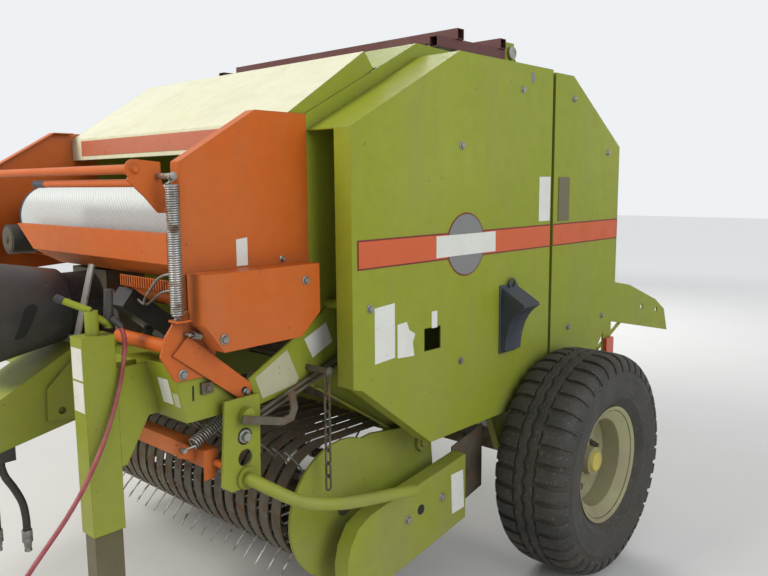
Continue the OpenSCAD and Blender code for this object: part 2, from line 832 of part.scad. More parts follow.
link_l = 34;
link_n = 9;
chain_x = 724;
chain_y = 1105;
chain_z = 932;
module lift_chains() {
  color(grime) placed() both() {
    for (i = [0 : link_n - 1])
      translate([chain_x, -chain_y, chain_z - 2 - i * (link_l + 6)])
        rotate([0, 0, i % 2 * 90])
          translate([-3, -11, -link_l]) cube([6, 22, link_l + 6.2]);
    bar_x(wall_out + plate_t, chain_x + 12, -chain_y, chain_z, 9);
  }
}

module side_guards() {
  x1 = wall_out + 102;
  color(grime) placed() both() {
    slab(x1 - 6, x1, [[-515, 545], [-515, 310], [-335, 350], [-335, 590]]);
    translate([wall_out, -470, wall_low - 8]) cube([x1 - 6 - wall_out, 80, 8]);
  }
}

// Wheel chock in its holder on the left cover
module chock() {
  y0 = -342;
  w = 100;
  color(dark) placed() {
    translate([cover_out, y0 + w, 0]) rotate([90, 0, 0]) linear_extrude(w) polygon([
      [6, 870], [20, 868], [90, 1046], [90, 1062], [6, 1130]
    ]);
    translate([cover_out, y0 - 8, 862]) cube([6, w + 16, 275]);
  }
}

// Drive at the front

pto_z = 1110;
pto_r = 17.5;
pto_nose = 1580;
gear_front = 1462;
module gearbox() {
  color(grime) placed() {
    translate([-110, -gear_front + 12, cross_top]) cube([220, 130, 210]);
    translate([0, -gear_front + 12, pto_z]) rotate([90, 0, 0]) cylinder(r = 60, h = 12);
    translate([0, -gear_front, pto_z]) rotate([90, 0, 0]) cylinder(r = pto_r, h = pto_nose - gear_front);
  }
}

drive_y = 1365;
drive_z = 1140;
module drive_tube() {
  color(orange) placed() {
    bar_x(110, 128, -drive_y, drive_z, 36);
    bar_x(128, wall_out + plate_t, -drive_y, drive_z, 22);
  }
}

// Guard of the shaft: a cup on the gearbox, and a bell on the cup
cup_r = 97;
cup_wall = 5;
cup_l = 88;
bell_r = 153;
bell_l = 350;
lip_t = 5;
lip_w = 24;
module round_guard(profile) {
  color(dark) placed() translate([0, -gear_front, pto_z]) rotate([90, 0, 0]) rotate_extrude() polygon(profile);
}
module pto_cup() {
  r0 = 60 + run_gap;
  round_guard([
    [r0, -12], [cup_r, -12], [cup_r, cup_l], [cup_r - cup_wall, cup_l], [cup_r - cup_wall, -6], [r0, -6]
  ]);
}
module pto_guard() {
  round_guard([
    [cup_r - cup_wall, cup_l], [cup_r, cup_l], [cup_r + 15, cup_l + 10], [bell_r, bell_l - lip_w],
    [bell_r + lip_t, bell_l - lip_w], [bell_r + lip_t, bell_l], [bell_r - cup_wall, bell_l],
    [bell_r - cup_wall, bell_l - lip_w], [cup_r + 11, cup_l + 13], [cup_r - cup_wall, cup_l + 2]
  ]);
}

module control_box() {
  color(dark) placed() translate([250, -1519, 1137]) rotate([-39, 0, 0])
    translate([0, 0, -3]) cube([84, 198, 60]);
  color(dark) placed() slab(285, 297, [[-1440, cross_top], [-1425, cross_top], [-1395, 1070], [-1425, 1082]]);
}

module hose_rest() {
  color(steel) placed() {
    slab(185, 215, sheet([[-1490, cross_top], [-1608, cross_top], [-1540, 1248]], -6));
    slab(222, 242, [[-1478, cross_top], [-1490, 1170], [-1496, 1170], [-1484, cross_top]]);
  }
}

// Wheels

bead_w = tyre_w * 0.72;
module tyre(side) {
  r = tyre_d / 2;
  rb = rim_d / 2 - 12;
  w = tyre_w / 2;
  b = bead_w / 2;
  mid = (r + rb) / 2 + 10;
  outer = [
    [rb, b], [rb + 20, b], [rb + 44, w * 0.9], [mid, w], [r - 50, w * 0.97], [r - 16, w * 0.86],
    [r - 3, w * 0.62], [r, w * 0.25]
  ];
  inner = [[r - 28, 0], [r - 32, w * 0.55], [r - 60, w - 22], [mid, w - 16], [rb + 36, b - 10], [rb, b - 22]];
  color(rubber) placed() translate([side * wheel_x, 0, axle_z]) rotate([0, 90, 0])
    rotate_extrude($fn = 96) polygon(concat(
      outer, [for (i = [len(outer) - 1 : -1 : 0]) [outer[i][0], -outer[i][1]]],
      [for (i = [len(inner) - 1 : -1 : 1]) [inner[i][0], -inner[i][1]]], inner
    ));
}
module rim(side) {
  ro = rim_d / 2;
  h = bead_w / 2;
  disc = -22;
  color(rim_olive) placed() translate([side * wheel_x, 0, axle_z]) rotate([0, 90 * side, 0]) difference() {
    union() {
      rotate_extrude($fn = 96) polygon([
        [ro - 13, -h], [ro, -h - 8], [ro + 5, -h - 8], [ro + 5, -h - 0.3], [ro - 12.3, -h - 0.3],
        [ro - 12.3, h + 0.3], [ro + 5, h + 0.3], [ro + 5, h + 8], [ro, h + 8], [ro - 17, h - 4],
        [ro - 48, h - 30], [ro - 48, disc + 26],
        [ro - 70, disc + 8], [95, disc + 8], [80, disc + 16], [stub_r + run_gap, disc + 16],
        [stub_r + run_gap, disc - 70], [62, disc - 70], [62, disc], [ro - 66, disc], [ro - 54, -h]
      ]);
      translate([0, 0, disc + 16]) cylinder(r = 52, h = stub_end - disc - 2);
    }
    translate([0, 0, disc - 71]) cylinder(r = stub_r + run_gap, h = stub_end + 76 - disc);
  }
}
module tyre_left() { tyre(1); }
module tyre_right() { tyre(-1); }
module rim_left() { rim(1); }
module rim_right() { rim(-1); }

// Pickup

side_t = 10;
side_r = band_r + 24;
beam_y = reel_y - tine_tip_r - 16;
beam_s = 36;
band_t = 5;
beam_top = reel_z + band_r - beam_s;
beam_low = reel_z - band_r;

module pickup_frame() {
  inner = pickup_x - side_t;
  post_x = wall_in - 22;
  color(green) placed() {
    both() difference() {
      union() {
        bar_x(inner, pickup_x, -reel_y, reel_z, side_r);
        slab(inner, pickup_x, [
          [-reel_y - side_r * 0.6, reel_z + side_r * 0.8], [-reel_y + 130, reel_z + 208],
          [-560, reel_z + 170], [-540, reel_z - 40], [-660, reel_z - 150],
          [-reel_y, reel_z - side_r], [-reel_y - side_r * 0.6, reel_z]
        ]);
        bar_x(inner, pickup_x + 14, -pivot_y, pivot_z, pivot_r + 16);
      }
      bar_x(inner - 1, pickup_x + 1, -reel_y, reel_z, reel_shaft_r + run_gap);
      bar_x(inner - 1, pickup_x + 15, -pivot_y, pivot_z, pivot_r + run_gap);
    }
    translate([-inner, -beam_y, beam_low]) cube([2 * inner, beam_s, beam_s]);
    translate([-post_x, -beam_y, beam_top]) cube([2 * post_x, beam_s, beam_s]);
    both() translate([post_x - beam_s, -beam_y, beam_low]) cube([beam_s, beam_s, beam_top - beam_low + beam_s]);
  }
}

pivot_y = 610;
pivot_z = 580;
pivot_r = 18;
reel_shaft_r = 25;

// Bands round the front of the reel, with straight tails to the rear beams
module stripper_bands() {
  tail = reel_y - beam_y;
  color(grime) placed() for (i = [0 : band_count - 1])
    translate([(i - (band_count - 1) / 2) * band_pitch - band_w / 2, -reel_y, reel_z])
      rotate([90, 0, 90]) linear_extrude(band_w) {
        difference() {
          circle(r = band_r);
          circle(r = band_r - band_t);
          translate([0, -band_r - 1]) square([band_r + 1, 2 * band_r + 2]);
        }
        translate([0, band_r - band_t]) square([tail, band_t]);
        translate([0, -band_r]) square([tail, band_t]);
      }
}

module pickup_shields() {
  x0 = cover_out - 66;
  color(green) placed() both() {
    difference() {
      slab(x0, x0 + 54, shield_outline);
      slab(x0 - 1, x0 + 50, inset(shield_outline, sheet_t));
    }
    for (y = [-900, -640]) bar_x(pickup_x, x0 + 50, y, 400, 14);
  }
}
shield_outline = [
  [-526, 541], [-806, 502], [-934, 492], [-1003, 479], [-1058, 454], [-1094, 401], [-1107, 345], [-1104, 290],
  [-1070, 238], [-1000, 222], [-930, 240], [-526, 310]
];

reel_half = (band_count - 1) / 2 * band_pitch + band_pitch / 2;
bar_r = 140;
module tine_reel() {
  color(steel) placed() translate([0, -reel_y, reel_z]) {
    bar_x(-pickup_x - 6, pickup_x + 6, 0, 0, reel_shaft_r);
    for (x = [-reel_half - 8, -6, reel_half - 4])
      translate([x, 0, 0]) rotate([90, 0, 90]) linear_extrude(12) for (k = [0 : tine_bars - 1])
        rotate(k * 360 / tine_bars + tine_phase) translate([0, -24]) square([bar_r + 14, 48]);
    for (k = [0 : tine_bars - 1]) rotate([k * 360 / tine_bars + tine_phase, 0, 0]) {
      bar_x(-reel_half, reel_half, bar_r, 0, 13);
      for (i = [0 : band_count])
        translate([(i - band_count / 2) * band_pitch, bar_r, 0])
          rotate([-90, 0, 0]) cylinder(d = tine_d, h = tine_tip_r - bar_r, $fn = 8);
    }
  }
}

// Hoses and the cable

clamp_y = 1780;
clamp_low = 690;
module hose_clamp() {
  front = clamp_y + 34;
  back = clamp_y - 30;
  color(dark) placed() slab(-60, 100, [
    [-front, bar_under(front)], [-front, clamp_low], [-back, clamp_low], [-back, bar_under(back)],
    [-taper_y, bar_under(taper_y)]
  ]);
}

function catmull(p, i, t) =
  let (a = p[max(i - 1, 0)], b = p[i], c = p[i + 1], d = p[min(i + 2, len(p) - 1)])
    0.5 * (2 * b + (c - a) * t + (2 * a - 5 * b + 4 * c - d) * t * t + (3 * b - a - 3 * c + d) * t * t * t);
function smooth(p, n) =
  concat([for (i = [0 : len(p) - 2], j = [0 : n - 1]) catmull(p, i, j / n)], [p[len(p) - 1]]);
// Heading at point i of the curve c, true to the route's own first and last stretch at the ends
function heading(route, c, i) =
  i == 0 ? unit(route[1] - route[0])
  : i == len(c) - 1 ? unit(route[len(route) - 1] - route[len(route) - 2])
  : unit(c[i + 1] - c[i - 1]);
// Tube swept along a smooth curve through the route, in rings that face along it
module swept(route, d, n, sides) {
  c = smooth(route, n);
  last = len(c) - 1;
  points = [for (i = [0 : last])
    let (h = heading(route, c, i), u = unit(cross(h, [0.1, 1, 0.05])), v = cross(h, u))
      for (k = [0 : sides - 1]) c[i] + (u * cos(k * 360 / sides) + v * sin(k * 360 / sides)) * d / 2];
  walls = [for (i = [0 : last - 1], k = [0 : sides - 1])
    [i * sides + k, i * sides + (k + 1) % sides, (i + 1) * sides + (k + 1) % sides, (i + 1) * sides + k]];
  polyhedron(points, concat(
    walls, [[for (k = [sides - 1 : -1 : 0]) k]], [[for (k = [0 : sides - 1]) last * sides + k]]));
}

hose_d = 22;
hose_a_route = [
  [80, -1785, 690], [80, -1785, 672], [80, -1776, 640], [80, -1755, 600], [80, -1735, 550], [80, -1728, 500],
  [80, -1728, 460]
];
hose_b_route = [
  [-30, -1795, 690], [-30, -1795, 668], [-30, -1789, 630], [-30, -1777, 580], [-30, -1772, 520],
  [-30, -1772, 440]
];
module hose_a() { color(rubber) placed() swept(hose_a_route, hose_d, 3, 10); }
module hose_b() { color(rubber) placed() swept(hose_b_route, hose_d, 3, 10); }
module hose_couplers() {
  color(steel) placed() for (r = [hose_a_route, hose_b_route]) {
    e = r[len(r) - 1];
    translate(e - [0, 0, 34]) cylinder(r = 15, h = 34);
    translate(e - [0, 0, 62]) cylinder(r = 11, h = 28);
  }
}

cable_d = 12;
cable_route = [
  [481.6, -1630, 1131], [490, -1627, 1126], [498, -1622, 1114], [505, -1617, 1095], [509, -1614, 1065],
  [512, -1615, 1015], [516, -1645, 940], [522, -1686, 840], [530, -1743, 745], [540, -1810, 665],
  [555, -1925, 555], [565, -2020, 440], [570, -2085, 320], [566, -2118, 200], [556, -2135, 100],
  [543, -2145, 45], [525, -2158, 14], [510, -2180, 7], [503, -2210, 7]
];
coil_mid = [424, -2240, 0];
coil_r = 66;
coil_w = 3 * cable_d;
coil_h = 2 * cable_d;
plug_r = 13;
module red_cable() { color(red) placed() swept(cable_route, cable_d, 4, 8); }
module red_coil() {
  color(red) placed() translate(coil_mid) rotate_extrude()
    translate([coil_r - coil_w / 2, 0.5]) square([coil_w, coil_h]);
}
module red_plug() {
  color(dark) placed() translate(coil_mid + [-60, -30, coil_h + 0.8 + plug_r])
    rotate([0, 90, 45]) cylinder(r = plug_r, h = 70);
}

chassis_frame();
axle_beam();
drawbar();
hitch_eye();
jack_post();
jack_crank();
jack_leg();
wall_left();
wall_right();
cover_left();
cover_right();
roof_sheet();
hood();
front_rollers();
hinge_shaft();
top_frame();
net_sides();
net_trough();
net_bars();
net_springs();
net_levers();
net_roll();
brake_disc();
guard_box();
diagonal_plates();
bracket_plates();
guard_tubes();
crop_bar();
pickup_springs();
lift_hooks();
lift_chains();
side_guards();
chock();
gearbox();
drive_tube();
pto_cup();
pto_guard();
control_box();
hose_rest();
tail_shell();
tail_covers();
rear_rollers();
light_arms();
tail_lamps();
tyre_left();
rim_left();
tyre_right();
rim_right();
pickup_frame();
stripper_bands();
pickup_shields();
tine_reel();
hose_clamp();
hose_a();
hose_b();
hose_couplers();
red_cable();
red_coil();
red_plug();
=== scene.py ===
# Looks of the round baler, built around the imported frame
import json
import math
import random

import bmesh
import bpy
from mathutils import Matrix, Vector


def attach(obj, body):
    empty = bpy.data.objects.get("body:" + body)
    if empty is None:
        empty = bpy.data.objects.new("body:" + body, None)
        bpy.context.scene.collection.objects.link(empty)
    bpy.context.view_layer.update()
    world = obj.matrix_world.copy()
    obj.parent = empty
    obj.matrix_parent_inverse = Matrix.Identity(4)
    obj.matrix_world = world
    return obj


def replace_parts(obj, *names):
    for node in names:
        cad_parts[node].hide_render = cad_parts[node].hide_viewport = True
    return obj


# Lengths are in metres. Places along Y are given from the axle, as in the part's source.
AXLE_Y = 0.706
# Outer faces of the walls, the side covers, the plates on the walls and the pickup's shields along X
WALL = 0.632
COVER = 0.812
PLATE = WALL + 0.008
SHIELD = 0.800
OUTWARD = (1, 0, 0)
SIDES = ((1, "left"), (-1, "right"))

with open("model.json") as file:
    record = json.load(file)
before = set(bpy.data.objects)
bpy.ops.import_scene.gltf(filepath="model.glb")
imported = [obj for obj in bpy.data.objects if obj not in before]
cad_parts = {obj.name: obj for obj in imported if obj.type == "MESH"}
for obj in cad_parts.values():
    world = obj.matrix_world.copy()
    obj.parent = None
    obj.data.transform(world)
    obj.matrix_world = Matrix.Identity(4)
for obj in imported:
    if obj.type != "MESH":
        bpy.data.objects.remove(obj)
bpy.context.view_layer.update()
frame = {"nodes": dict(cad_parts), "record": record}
nodes = frame["nodes"]
rng = random.Random(7)


# Mesh building


def at(x, y, z):
    """A point given from the axle, in the model's frame."""
    return Vector((x, y + AXLE_Y, z))


def across(axis):
    """An axis as a unit vector, with two more that are square to it and to each other."""
    axis = Vector(axis).normalized()
    side = Vector((0, 0, 1)) if abs(axis.z) < 0.9 else Vector((1, 0, 0))
    u = axis.cross(side).normalized()
    return axis, u, axis.cross(u)


def polar(u, v, angle):
    return u * math.cos(angle) + v * math.sin(angle)


def ring_of(centre, u, v, r, count, turn=0.0):
    """Points on a circle in the plane of two unit vectors."""
    return [centre + polar(u, v, turn + k * math.tau / count) * r for k in range(count)]


class Shape:
    """Collects faces, and turns them into one object."""

    def __init__(self):
        self.verts = []
        self.faces = []

    def add(self, verts, faces):
        start = len(self.verts)
        self.verts += [tuple(v) for v in verts]
        self.faces += [tuple(start + i for i in f) for f in faces]
        return self

    def rings(self, rings, closed=False):
        """Joins rings of equal counts of points into a skin, with an end face where it isn't closed."""
        n = len(rings[0])
        faces = []
        for i in range(len(rings) if closed else len(rings) - 1):
            a, b = i * n, (i + 1) % len(rings) * n
            faces += [(a + k, a + (k + 1) % n, b + (k + 1) % n, b + k) for k in range(n)]
        if not closed:
            last = (len(rings) - 1) * n
            faces += [tuple(range(n))[::-1], tuple(last + k for k in range(n))]
        return self.add([p for r in rings for p in r], faces)

    def slab(self, x0, x1, outline):
        """An outline of (y, z) points from the axle, extruded along X."""
        return self.rings([[at(x, y, z) for y, z in outline] for x in (x0, x1)])

    def box(self, a, b):
        """A box between two opposite corners, given from the axle."""
        return self.slab(a[0], b[0], rect(a[1], b[1], a[2], b[2]))

    def tube(self, path, r, sides=10, closed=False):
        """A round tube along points in the model's frame, with rings that don't twist."""
        n = len(path)
        rings = []
        u = None
        for i, p in enumerate(path):
            before = path[i - 1] if closed or i else path[0]
            after = path[(i + 1) % n] if closed or i < n - 1 else path[-1]
            t = (after - before).normalized()
            if u is None:
                u = across(t)[1]
            u = (u - t * u.dot(t)).normalized()
            rings.append(ring_of(p, u, t.cross(u), r[i] if isinstance(r, list) else r, sides))
        return self.rings(rings, closed)

    def lathe(self, centre, axis, profile, n=32, closed=False):
        """A profile of (radius, distance along the axis), turned about the axis."""
        axis, u, v = across(axis)
        count = len(profile)
        verts = []
        faces = []
        for i in range(n):
            out = polar(u, v, i * math.tau / n)
            verts += [centre + axis * h + out * max(r, 1e-5) for r, h in profile]
            a, b = i * count, (i + 1) % n * count
            spans = range(count if closed else count - 1)
            faces += [(a + k, a + (k + 1) % count, b + (k + 1) % count, b + k) for k in spans]
        return self.add(verts, faces)

    def disc(self, centre, axis, r, n):
        """A thin round face that stands just proud of the surface it lies on."""
        return self.lathe(centre, axis, [(0, -0.0005), (r, -0.0005), (r, 0.0006), (0, 0.0006)], n)

    def bolt(self, place, axis=OUTWARD, width=0.019, height=0.009):
        """A hexagon head on a washer, with its foot at the place."""
        axis, u, v = across(axis)
        turn = rng.uniform(0, 1)
        washer, rim = width * 0.78, width * 0.70
        self.lathe(place, axis, [(0, -0.002), (washer, -0.002), (washer, 0.0016), (rim, 0.0022), (0, 0.0022)], 20)
        # A hexagon's corners lie this far from its middle, for its width across the flats
        corner = width * 0.577
        return self.rings([
            ring_of(place + axis * h, u, v, r, 6, turn)
            for r, h in ((corner, 0.002), (corner, height * 0.8), (width * 0.5, height))
        ])

    def mirror(self):
        """Adds the same faces on the machine's other side."""
        start = len(self.verts)
        self.verts += [(-x, y, z) for x, y, z in self.verts]
        self.faces += [tuple(start + i for i in reversed(f)) for f in self.faces]
        return self

    def done(self, name, material, body, slot, bevel=0.0, smooth=35.0):
        """Makes the object, shaded smooth up to an angle in degrees, and says what it rides on and looks like."""
        mesh = bpy.data.meshes.new(name)
        mesh.from_pydata(self.verts, [], self.faces)
        bm = bmesh.new()
        bm.from_mesh(mesh)
        bmesh.ops.remove_doubles(bm, verts=bm.verts, dist=1e-6)
        bmesh.ops.dissolve_degenerate(bm, edges=bm.edges, dist=1e-7)
        bmesh.ops.recalc_face_normals(bm, faces=bm.faces)
        bm.to_mesh(mesh)
        bm.free()
        mesh.polygons.foreach_set("use_smooth", [True] * len(mesh.polygons))
        mesh.set_sharp_from_angle(angle=math.radians(smooth))
        obj = bpy.data.objects.new(name, mesh)
        bpy.context.scene.collection.objects.link(obj)
        if bevel:
            mod = obj.modifiers.new("edges", "BEVEL")
            mod.width = bevel
            mod.segments = 2
            mod.limit_method = "ANGLE"
            mod.angle_limit = math.radians(40)
        mesh.materials.append(material)
        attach(obj, body)
        return obj


def rect(y0, y1, z0, z1):
    return [(y0, z0), (y1, z0), (y1, z1), (y0, z1)]


def ellipse(y, z, ry, rz, n):
    angles = [i * math.tau / n for i in range(n)]
    return [(y + ry * math.cos(a), z + rz * math.sin(a)) for a in angles]


def spline(points, n):
    """A smooth curve through the points, the same as in the part's source."""
    out = []
    for i in range(len(points) - 1):
        a = points[max(i - 1, 0)]
        b, c = points[i], points[i + 1]
        d = points[min(i + 2, len(points) - 1)]
        for j in range(n):
            t = j / n
            bend = (2 * a - 5 * b + 4 * c - d) * t * t + (3 * b - a - 3 * c + d) * t ** 3
            out.append(0.5 * (2 * b + (c - a) * t + bend))
    return out + [points[-1]]


def route(points):
    """Points in millimetres from the axle, in the model's frame."""
    return [at(x / 1000, y / 1000, z / 1000) for x, y, z in points]


# Materials


class Tree:
    """A node tree with short ways to add and join nodes."""

    def __init__(self, tree):
        self.tree = tree

    def node(self, kind, inputs=None, **props):
        node = self.tree.nodes.new(kind)
        for key, value in props.items():
            setattr(node, key, value)
        for key, value in (inputs or {}).items():
            self.put(value, node.inputs[key])
        return node

    def put(self, value, socket):
        """Links an output, or sets a number or a colour on the socket itself."""
        if isinstance(value, bpy.types.NodeSocket):
            self.tree.links.new(value, socket)
        elif hasattr(value, "__len__") and len(value) == 3 and socket.type == "RGBA":
            socket.default_value = (*value, 1)
        else:
            socket.default_value = value

    def calc(self, kind, a, b):
        return self.node("ShaderNodeMath", {0: a, 1: b}, operation=kind, use_clamp=True).outputs[0]


# Sockets of a Mix node that carry colours
MIX_A, MIX_B, MIX_OUT = 6, 7, 2


class Paint(Tree):
    """A material's node tree around its one Principled shader."""

    def __init__(self, name, **values):
        self.material = bpy.data.materials.new(name)
        self.material.use_nodes = True
        super().__init__(self.material.node_tree)
        self.shader = self.tree.nodes["Principled BSDF"]
        self.place = self.node("ShaderNodeTexCoord").outputs["Object"]
        self.normal = None
        for key, value in values.items():
            self.put(value, self.shader.inputs[key])

    def noise(self, scale, detail=4.0, stretch=(1, 1, 1), seed=0.0):
        """Noise in the object's own space, moved by a seed so that two masks don't share their spots."""
        shift = (seed, seed * 1.7, seed * 0.6)
        spot = self.node("ShaderNodeMapping", {"Vector": self.place, "Scale": stretch, "Location": shift})
        pairs = {"Vector": spot.outputs[0], "Scale": scale, "Detail": detail}
        return self.node("ShaderNodeTexNoise", pairs).outputs[0]

    def waves(self, scale, direction, distortion=0.0, detail_scale=1.0):
        pairs = {
            "Vector": self.place, "Scale": scale, "Distortion": distortion,
            "Detail": 2.0, "Detail Scale": detail_scale,
        }
        return self.node("ShaderNodeTexWave", pairs, bands_direction=direction).outputs["Fac"]

    def span(self, value, low, high, a=0.0, b=1.0):
        """Maps the stretch from low to high onto 0 to 1, or onto a to b."""
        pairs = {"Value": value, "From Min": low, "From Max": high, "To Min": a, "To Max": b}
        return self.node("ShaderNodeMapRange", pairs).outputs[0]

    def mix(self, factor, a, b):
        return self.node("ShaderNodeMix", {0: factor, MIX_A: a, MIX_B: b}, data_type="RGBA").outputs[MIX_OUT]

    def layer(self, under, mask, strength, over):
        """A colour over another one where the mask is set."""
        return self.mix(self.calc("MULTIPLY", mask, strength), under, over)

    def along(self, axis):
        return self.node("ShaderNodeSeparateXYZ", {0: self.place}).outputs[axis]

    def edges(self, radius):
        """A mask that is 1 along sharp edges."""
        soft = self.node("ShaderNodeBevel", {"Radius": radius}, samples=4).outputs[0]
        hard = self.node("ShaderNodeNewGeometry").outputs["Normal"]
        dot = self.node("ShaderNodeVectorMath", {0: soft, 1: hard}, operation="DOT_PRODUCT").outputs["Value"]
        self.normal = soft
        return self.span(dot, 0.985, 0.90)

    def corners(self, reach):
        """A mask that is 1 where surfaces meet or lie close together."""
        ao = self.node("ShaderNodeAmbientOcclusion", {"Distance": reach}, samples=4).outputs["AO"]
        return self.span(ao, 0.85, 0.25)

    def bump(self, height, strength, distance):
        pairs = {"Height": height, "Strength": strength, "Distance": distance}
        if self.normal is not None:
            pairs["Normal"] = self.normal
        self.normal = self.node("ShaderNodeBump", pairs).outputs[0]

    def finish(self, color, rough):
        self.put(color, self.shader.inputs["Base Color"])
        self.put(rough, self.shader.inputs["Roughness"])
        if self.normal is not None:
            self.put(self.normal, self.shader.inputs["Normal"])
        return self.material


def shade(color, factor):
    return tuple(c * factor for c in color)


DUST = (0.26, 0.215, 0.145)
# Painted shade: the dark brown laid where surfaces meet or lie close together
CORNER_SHADE = (0.045, 0.040, 0.026)
BARE_EDGE = (0.13, 0.085, 0.05)
BARE_NICK = (0.11, 0.06, 0.035)
RUST = (0.17, 0.075, 0.030)
SCUFF = (0.3, 0.29, 0.27)


def field_paint(name, base, faded, dust=0.45, rough=0.36, chips=0.5, low=0.35, high=1.15):
    """Sheet metal paint that has faded, with dust low down, painted shade in corners and chipped edges."""
    m = Paint(name, **{"Specular IOR Level": 0.30})
    patch = m.span(m.noise(1.7, 5.0), 0.38, 0.68)
    fine = m.noise(24.0, 6.0, seed=3.0)
    streaks = m.span(m.noise(9.0, 5.0, stretch=(1, 1, 0.10), seed=5.0), 0.50, 0.80)
    color = m.layer(base, patch, 0.7, faded)
    color = m.mix(m.span(fine, 0.35, 0.75, 0.0, 0.16), color, shade(base, 0.55))
    color = m.layer(color, streaks, dust * 0.45, DUST)
    fall = m.span(m.along("Z"), low, high, 1.0, 0.0)
    lowly = m.calc("MULTIPLY", fall, m.span(m.noise(5.0, 6.0, seed=9.0), 0.30, 0.66))
    color = m.layer(color, lowly, dust, DUST)
    specks = m.span(m.noise(140.0, 3.0, seed=2.0), 0.66, 0.74)
    color = m.layer(color, specks, 0.30, DUST)
    # Painted shade: darker where surfaces meet or lie close together
    color = m.layer(color, m.corners(0.05), 0.55, CORNER_SHADE)
    edge = m.calc("MULTIPLY", m.edges(0.003), m.span(m.noise(38.0, 4.0, seed=6.0), 0.50, 0.60))
    color = m.layer(color, edge, chips, BARE_EDGE)
    nicks = m.span(m.noise(55.0, 2.0, seed=12.0), 0.735, 0.76)
    color = m.layer(color, nicks, chips, BARE_NICK)
    dull = m.calc("ADD", m.calc("MULTIPLY", lowly, 0.6), m.calc("MULTIPLY", fine, 0.3))
    m.bump(m.noise(3.2, 3.0, seed=4.0), 0.18, 0.006)
    m.bump(m.noise(420.0, 2.0), 0.05, 0.0006)
    return m.finish(color, m.span(dull, 0.0, 1.0, rough, rough + 0.42))


def worn_steel(name, base, metal, rust, rough=0.42, dusty=0.25):
    """Zinc or bare steel with rust and dust in patches."""
    m = Paint(name, Metallic=metal)
    tone = m.span(m.noise(20.0, 6.0), 0.3, 0.7)
    color = m.mix(tone, base, shade(base, 0.62))
    spots = m.span(m.noise(33.0, 6.0, seed=4.0), 0.56 - rust * 0.12, 0.68)
    color = m.layer(color, spots, 0.8, RUST)
    dull = m.span(m.noise(7.0, 5.0, seed=8.0), 0.42, 0.75)
    color = m.layer(color, dull, dusty, DUST)
    # Painted shade: darker where surfaces meet or lie close together
    color = m.layer(color, m.corners(0.03), 0.6, CORNER_SHADE)
    m.edges(0.0015)
    m.bump(m.noise(90.0, 4.0, seed=2.0), 0.20, 0.0008)
    matt = m.calc("ADD", spots, m.calc("MULTIPLY", tone, 0.3))
    return m.finish(color, m.span(matt, 0.0, 1.0, rough, 0.82))


def moulded(name, base, rough=0.45, dusty=0.30):
    """Plastic or rubber with a fine grain, scuffs and dust."""
    m = Paint(name)
    tone = m.span(m.noise(6.0, 5.0), 0.35, 0.7)
    color = m.mix(tone, base, shade(base, 1.9))
    dull = m.span(m.noise(4.0, 6.0, seed=8.0), 0.40, 0.72)
    color = m.layer(color, dull, dusty, shade(DUST, 0.8))
    scuff = m.span(m.noise(60.0, 3.0, stretch=(1, 0.12, 1), seed=3.0), 0.66, 0.74)
    color = m.layer(color, scuff, 0.25, SCUFF)
    m.edges(0.0015)
    m.bump(m.noise(260.0, 2.0, seed=2.0), 0.12, 0.0006)
    return m.finish(color, m.span(m.calc("ADD", dull, scuff), 0.0, 1.0, rough, 0.85))


def tyre_rubber(name):
    """Field tyre with dried soil in its grooves and specks of it all over."""
    m = Paint(name)
    tone = m.span(m.noise(9.0, 6.0), 0.35, 0.7)
    color = m.mix(tone, (0.018, 0.018, 0.017), (0.040, 0.038, 0.034))
    dull = m.span(m.noise(5.0, 7.0, seed=5.0), 0.36, 0.66)
    color = m.layer(color, dull, 0.30, (0.12, 0.102, 0.075))
    color = m.layer(color, m.corners(0.02), 0.45, (0.13, 0.105, 0.070))
    specks = m.span(m.noise(120.0, 3.0, seed=2.0), 0.60, 0.70)
    color = m.layer(color, specks, 0.35, (0.24, 0.20, 0.14))
    m.edges(0.002)
    m.bump(m.noise(160.0, 4.0, seed=2.0), 0.30, 0.0012)
    return m.finish(color, m.span(dull, 0.0, 1.0, 0.62, 0.92))


def net_film(name):
    """White net on the roll in crossed threads, with a painted shadow in dark blue round the end at the roll's right.
    """
    m = Paint(name)
    weave = m.calc("MULTIPLY", m.waves(62.0, "X", 1.6, 4.0), m.waves(40.0, "DIAGONAL", 2.4, 5.0))
    color = m.mix(m.span(weave, 0.08, 0.5), (0.60, 0.64, 0.62), (0.86, 0.88, 0.86))
    wrap = m.span(m.noise(3.0, 4.0, stretch=(0.3, 1, 1)), 0.4, 0.7)
    color = m.layer(color, wrap, 0.25, (0.66, 0.72, 0.74))
    # Painted shadow: the net turns dark blue close to the roll's right end
    color = m.mix(m.span(m.along("X"), -0.412, -0.416), color, (0.030, 0.045, 0.105))
    m.bump(weave, 0.5, 0.0015)
    return m.finish(color, m.span(wrap, 0.0, 1.0, 0.42, 0.6))


def vinyl(name, base, dirt=0.25, rough=0.35):
    """Blank sign or stripe film, a little dirty and rubbed."""
    m = Paint(name)
    patch = m.span(m.noise(12.0, 6.0), 0.38, 0.72)
    color = m.layer(base, patch, dirt, tuple(0.5 * c + 0.5 * d for c, d in zip(base, DUST)))
    rubbed = m.span(m.noise(70.0, 5.0, seed=4.0), 0.64, 0.70)
    color = m.layer(color, rubbed, dirt * 1.6, shade(base, 0.55))
    m.bump(m.noise(60.0, 3.0, seed=1.0), 0.06, 0.0006)
    return m.finish(color, m.span(patch, 0.0, 1.0, rough, rough + 0.3))


def lens(name, base):
    """A lamp's ribbed lens."""
    m = Paint(name, **{"Coat Weight": 0.4})
    dull = m.span(m.noise(14.0, 5.0), 0.40, 0.75)
    color = m.layer(base, dull, 0.25, DUST)
    m.bump(m.waves(55.0, "Z"), 0.45, 0.0015)
    return m.finish(color, m.span(dull, 0.0, 1.0, 0.16, 0.5))


